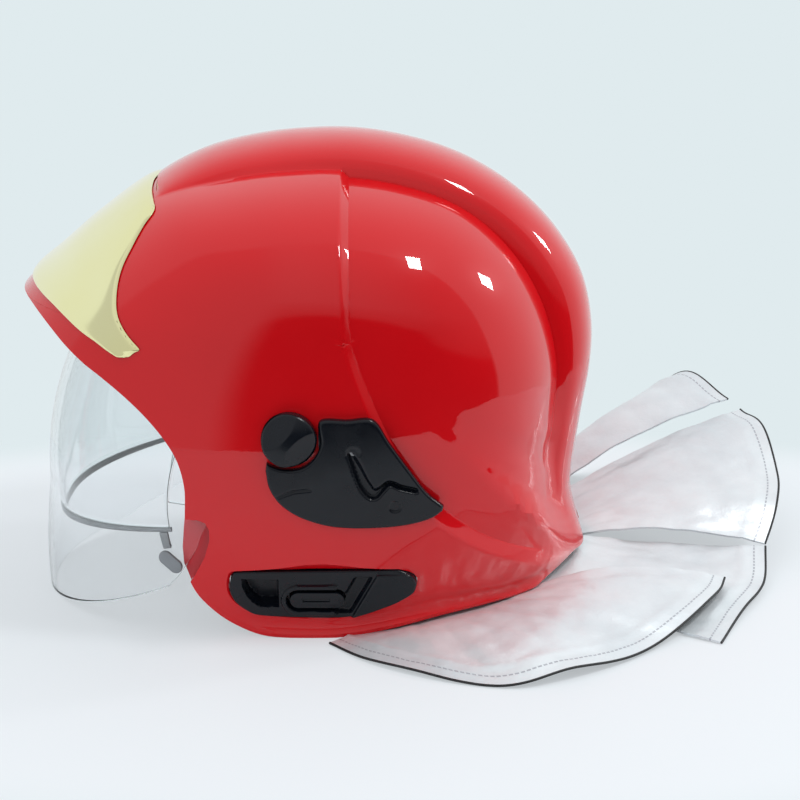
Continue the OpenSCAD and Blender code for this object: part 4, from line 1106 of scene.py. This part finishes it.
# First and last turn about the nape, how high the panel arches, its folds and how deep they are
PANELS = {"curtain_side_left": (-100, -48, 9, 3, 4), "curtain_rear_left": (-38, -1, -2, 1, 3),
          "curtain_rear_right": (1, 43, 6, 2, 5), "curtain_side_right": (47, 100, 9, 3, 5)}


def plan_point(turn, z, d):
    """Points at a height z and a turn about the nape that lie a distance d inside the shell."""
    turn, z = np.broadcast_arrays(np.radians(np.asarray(turn, float)), np.asarray(z, float))
    lo, hi = np.full(turn.shape, 40.0), np.full(turn.shape, 140.0)
    for _ in range(24):
        m = (lo + hi) / 2
        inside = m * np.abs(np.sin(turn)) < side_y(PLAN_X + m * np.cos(turn), z, -STEP_H - SHELL_T)
        lo, hi = np.where(inside, m, lo), np.where(inside, hi, m)
    r = (lo + hi) / 2 - d
    return np.stack([PLAN_X + r * np.cos(turn), r * np.sin(turn), z], -1)


def wrinkle(x, y, seed):
    """Soft creases of a few sizes, from -1 to 1."""
    r = np.random.default_rng(seed)
    out = 0.0
    for size, high in ((46, 0.5), (27, 0.32), (15, 0.18)):
        for _ in range(3):
            t, ph = r.uniform(0, math.pi), r.uniform(0, 2 * math.pi)
            w = x * math.cos(t) + y * math.sin(t) + 7 * np.sin((x * math.sin(t) - y * math.cos(t)) / 31 + ph)
            out = out + high / 3 * (1 - 2 * np.abs(np.sin(w * math.pi / size + ph)))
    return out


def curtain_grid(name):
    """Points of a panel's middle surface: behind the rim's band, out under the rim and down to the hem."""
    t0, t1, lift, folds, depth = PANELS[name]
    hem = smooth_loop(HEMS[name], 12, False)
    u = np.linspace(0, 1, len(hem))
    turn = t0 + (t1 - t0) * u
    z = lookup(RIM_BY_TURN, np.abs(turn))
    inside = BAND_GAP + CURTAIN_BAND_T + CLOTH_T / 2 + 1.9
    a, m, b = plan_point(turn, z + 9, inside), plan_point(turn, z + 6, inside), plan_point(turn, z + 1, inside + 1)
    out = hem - b
    out[:, 2] = 0
    out = unit(out)
    c, d = b + out * 2, b + out * 11
    c[:, 2] = d[:, 2] = np.maximum(CLOTH_LEAST, z - 2.8)
    free = np.clip((np.linalg.norm(hem - d, axis=1) - 25) / 60, 0, 1)
    fold = depth * (1 - np.cos(2 * math.pi * folds * u)) / 2
    rows = [a, m, b, c]
    for k in range(25):
        w = k / 24
        p = d * (1 - w) + hem * w
        p[:, 2] = np.maximum(CLOTH_LEAST, p[:, 2] + free * (lift * math.sin(math.pi * w) + fold * w ** 1.5))
        rows.append(p)
    g = np.array(rows).transpose(1, 0, 2)
    g = np.array([smooth_loop(col, 2, False) for col in g])
    g[..., 2] = np.maximum(g[..., 2], CLOTH_LEAST)
    return g


def make_curtain(name, seed):
    g = curtain_grid(name)
    n, m = g.shape[:2]
    along = run_of(g[:, -1])
    cols = np.concatenate([np.zeros((n, 1)), np.cumsum(np.linalg.norm(np.diff(g, axis=1), axis=2), axis=1)], 1)
    from_hem = cols[:, -1:] - cols
    nrm = unit(np.cross(np.gradient(g, axis=0), np.gradient(g, axis=1)))
    x = np.broadcast_to(along[:, None], (n, m))
    # Creases fade out at the rim, at the hem and where the panel is short
    room = np.clip((cols - 16) / 25, 0, 1) * np.clip(np.minimum(from_hem, 200) / 9, 0.15, 1)
    room = room * np.clip(np.linalg.norm(g[:, -1] - g[:, 8], axis=1)[:, None] / 60, 0, 1)
    g = g + nrm * (1.6 * wrinkle(x, from_hem, seed) * room)[..., None]
    # The fold of the hem ends in a slight step
    hem_step = -0.5 * np.exp(-((from_hem - 13) / 1.6) ** 2) * np.clip((cols - 14) / 6, 0, 1)
    g = g + nrm * hem_step[..., None]
    g[..., 2] = np.maximum(g[..., 2], CLOTH_LEAST)
    top, bottom = place(g + nrm * CLOTH_T / 2), place(g - nrm * CLOTH_T / 2)
    ob = shell_between(name + "_cloth", top, bottom, [SILVER, LINING, PIPING], 60)
    faces = (n - 1) * (m - 1)
    idx = np.zeros(len(ob.data.polygons), np.int32)
    outer_first = float(np.mean(nrm[..., 2])) > 0
    idx[:faces] = 0 if outer_first else 1
    idx[faces:2 * faces] = 1 if outer_first else 0
    ob.data.polygons.foreach_set("material_index", idx)
    uv = np.stack([x, from_hem], -1).reshape(-1, 2)
    uv_of(ob, np.concatenate([uv, uv]))
    settle(ob, "silver_cloth", name)
    trim = g[:, -1] - nrm[:, -1] * 0.25
    trim[:, 2] = np.maximum(trim[:, 2], FLOOR_Z + 0.75)
    pipe = tube(name + "_piping", place(trim), 0.0007, [PIPING], 8)
    settle(pipe, "pad_cloth", body=BODY[name])


# The whole helmet
make_shell()
make_plate()
make_side_plates()
make_brackets()
make_knobs()
make_shield()
make_ocular()
make_trim()
make_cradle()
make_chin_strap()
make_brow_pad()
for i, name in enumerate(PANELS):
    make_curtain(name, 11 + i)
for stem, mat, slot, width in (
        ("mask_release", BLACK, "black_plastic", 0.4), ("shield_grip", GRIP, "dark_plastic", 0.7),
        ("shield_arm", DARK, "dark_plastic", 0.4), ("ocular_tab", RUBBER, "grey_rubber", 0.5),
        ("cheek_panel", RED_PANEL, "red_panel", 0.5)):
    for side in ("_left", "_right"):
        softened(stem + side, mat, slot, width)
for node_name, mat, slot, width in (
        ("visor_housing", DARK, "dark_plastic", 0.4), ("headband", DARK, "dark_plastic", 0.4),
        ("ratchet_housing", DARK, "dark_plastic", 0.8), ("ratchet_knob", DARK, "dark_plastic", 0.8),
        ("chin_cup", DARK, "dark_plastic", 1.0), ("buckle_body", BLACK, "black_plastic", 0.8),
        ("liner_front", FOAM, "foam", 1.2), ("liner_rear", FOAM, "foam", 1.2),
        ("curtain_band", WEB, "webbing", 0.2)):
    softened(node_name, mat, slot, width)
for node_name in ("hinge_pin_left", "hinge_pin_right", "plate_screws", "knob_spindle_left", "knob_spindle_right",
                  "strap_anchors", "buckle_button"):
    ob = NODES[node_name]
    ob.data.materials.clear()
    ob.data.materials.append(RED_PANEL if node_name == "buckle_button" else STEEL)
    shade(ob, 30)


# Floor, light and camera
def seen_ray(nt):
    """1 for rays from the camera or through glass, else 0."""
    path = nt.nodes.new("ShaderNodeLightPath").outputs
    return math_of(nt, "MAXIMUM", path["Is Camera Ray"], path["Is Transmission Ray"])


WALL = (0.745, 0.83, 0.855, 1)
TABLE_MID, TABLE_HALF, TABLE_T = (0.0, -0.035), (0.56, 0.325), 0.03
# Shares of the table's radius between which its seen colour melts into the wall's
MELT = (0.74, 0.98)


def make_table():
    """A pale rounded table top whose far edge melts into the wall."""
    seg, verts = 128, []
    t = np.arange(seg) * 2 * math.pi / seg
    sq = [np.sign(f(t)) * np.abs(f(t)) ** 0.62 for f in (np.cos, np.sin)]
    rings = [(0.5, 0.0), (0.9, 0.0), (0.985, 0.0), (0.997, -0.003), (1.0, -0.009), (1.0, -TABLE_T)]
    for k, z in rings:
        verts += [(TABLE_MID[0] + TABLE_HALF[0] * k * x, TABLE_MID[1] + TABLE_HALF[1] * k * y, z)
                  for x, y in zip(*sq)]
    faces = grid_faces(len(rings), seg, True)
    faces += [tuple(range(seg)), tuple((len(rings) - 1) * seg + j for j in range(seg))]
    ob = outward(mesh_piece("table", verts, faces, (), 50))
    m, nt, b = principled("table_top", (0.80, 0.83, 0.86), 0.6, Specular_IOR_Level=0.2)
    ob.data.materials.append(m)
    tint(nt, b, noise_of(nt, 3.0, 2), (0.79, 0.82, 0.85), (0.81, 0.84, 0.87))
    at = axes_of(nt, "Object")
    x, y = (math_of(nt, "MULTIPLY_ADD", at[k], 1 / TABLE_HALF[k], -TABLE_MID[k] / TABLE_HALF[k]) for k in (0, 1))
    radius = math_of(nt, "SQRT", math_of(nt, "ADD", math_of(nt, "MULTIPLY", x, x), math_of(nt, "MULTIPLY", y, y)))
    far = mapped(nt, radius, *MELT, kind="SMOOTHSTEP")
    glow = node(nt, "ShaderNodeEmission", {"Color": blend(nt, far, (0.88, 0.93, 0.965, 1), WALL)})
    share = math_of(nt, "MULTIPLY", mapped(nt, far, 0.0, 1.0, 0.5, 1.0), seen_ray(nt))
    mix = node(nt, "ShaderNodeMixShader", {"Fac": share, 1: b.outputs[0], 2: glow.outputs[0]})
    nt.links.new(mix.outputs[0], nt.nodes["Material Output"].inputs["Surface"])


def make_world():
    """A pale wall where it is seen, and for the object's light a room: ceiling, walls and a dim floor."""
    w = bpy.data.worlds.new("studio")
    scene.world = w
    w.use_nodes = True
    nt = w.node_tree
    bg = nt.nodes["Background"]
    to = axes_of(nt, "Generated")
    front = ramp(nt, math_of(nt, "MULTIPLY_ADD", to["Z"], 0.5, 0.5),
                 [(0.0, (0.04,) * 3), (0.485, (0.05,) * 3), (0.50, (0.09,) * 3), (0.525, (0.40,) * 3),
                  (0.62, (0.72, 0.74, 0.76)), (1.0, (0.84, 0.86, 0.88))])
    left = mapped(nt, to["X"], -0.22, -0.36, kind="SMOOTHSTEP")
    back = mapped(nt, to["Y"], -0.24, -0.16, kind="SMOOTHSTEP")
    room = blend(nt, back, blend(nt, left, front, (0.66, 0.68, 0.70, 1)), (0.84, 0.88, 0.90, 1))
    level = math_of(nt, "MAXIMUM", mapped(nt, to["X"], -0.15, 0.75, 0.9, 0.5), math_of(nt, "MULTIPLY", back, 0.95))
    seen = seen_ray(nt)
    nt.links.new(blend(nt, seen, room, WALL), bg.inputs["Color"])
    strength = node(nt, "ShaderNodeMix", {"Factor": seen, 2: level, 3: 1.0})
    nt.links.new(strength.outputs[0], bg.inputs["Strength"])


def area_light(name, at, aim, size, power, color=(1, 1, 1), roll=0.0):
    data = bpy.data.lights.new(name, "AREA")
    data.shape, data.size, data.size_y = "RECTANGLE", *size
    data.energy, data.color = power, color
    ob = bpy.data.objects.new(name, data)
    scene.collection.objects.link(ob)
    ob.location = at
    ob.rotation_mode = "QUATERNION"
    ob.rotation_quaternion = (Vector(aim) - Vector(at)).to_track_quat("-Z", "Y") @ Quaternion((0, 0, 1), roll)
    return ob


DAYLIGHT = (0.97, 0.99, 1.0)
make_table()
make_world()
area_light("window_one", (1.05, -0.41, 1.88), (0, -0.1, 0.2), (0.44, 0.27), 13, DAYLIGHT, 0.7)
fill = area_light("front_fill", (-1.0, -1.8, 1.2), (0, 0, 0.12), (1.2, 1.2), 8)
fill.visible_glossy = False
area_light("window_two", (1.73, 0.58, 1.02), (0.03, -0.08, 0.19), (0.22, 0.24), 7, DAYLIGHT, 0.6)

# Camera at the photograph's angle, in millimetres: look-at point, distance, elevation and focal length
AIM, DISTANCE, ELEVATION, FOCAL = (-9.1, 0.0, 99.8), 1200.0, math.radians(16), 2160.0
cam = bpy.data.objects.new("camera", bpy.data.cameras.new("camera"))
scene.collection.objects.link(cam)
cam.data.sensor_width = 36
cam.data.lens = 36 * FOCAL / 800
cam.location = np.array([AIM[0], AIM[1] - DISTANCE * math.cos(ELEVATION),
                         AIM[2] + DISTANCE * math.sin(ELEVATION)]) * 0.001
cam.rotation_euler = (math.pi / 2 - ELEVATION, 0, 0)
cam.data.clip_start, cam.data.clip_end = 0.05, 50
scene.camera = cam
scene.view_settings.view_transform = "Standard"
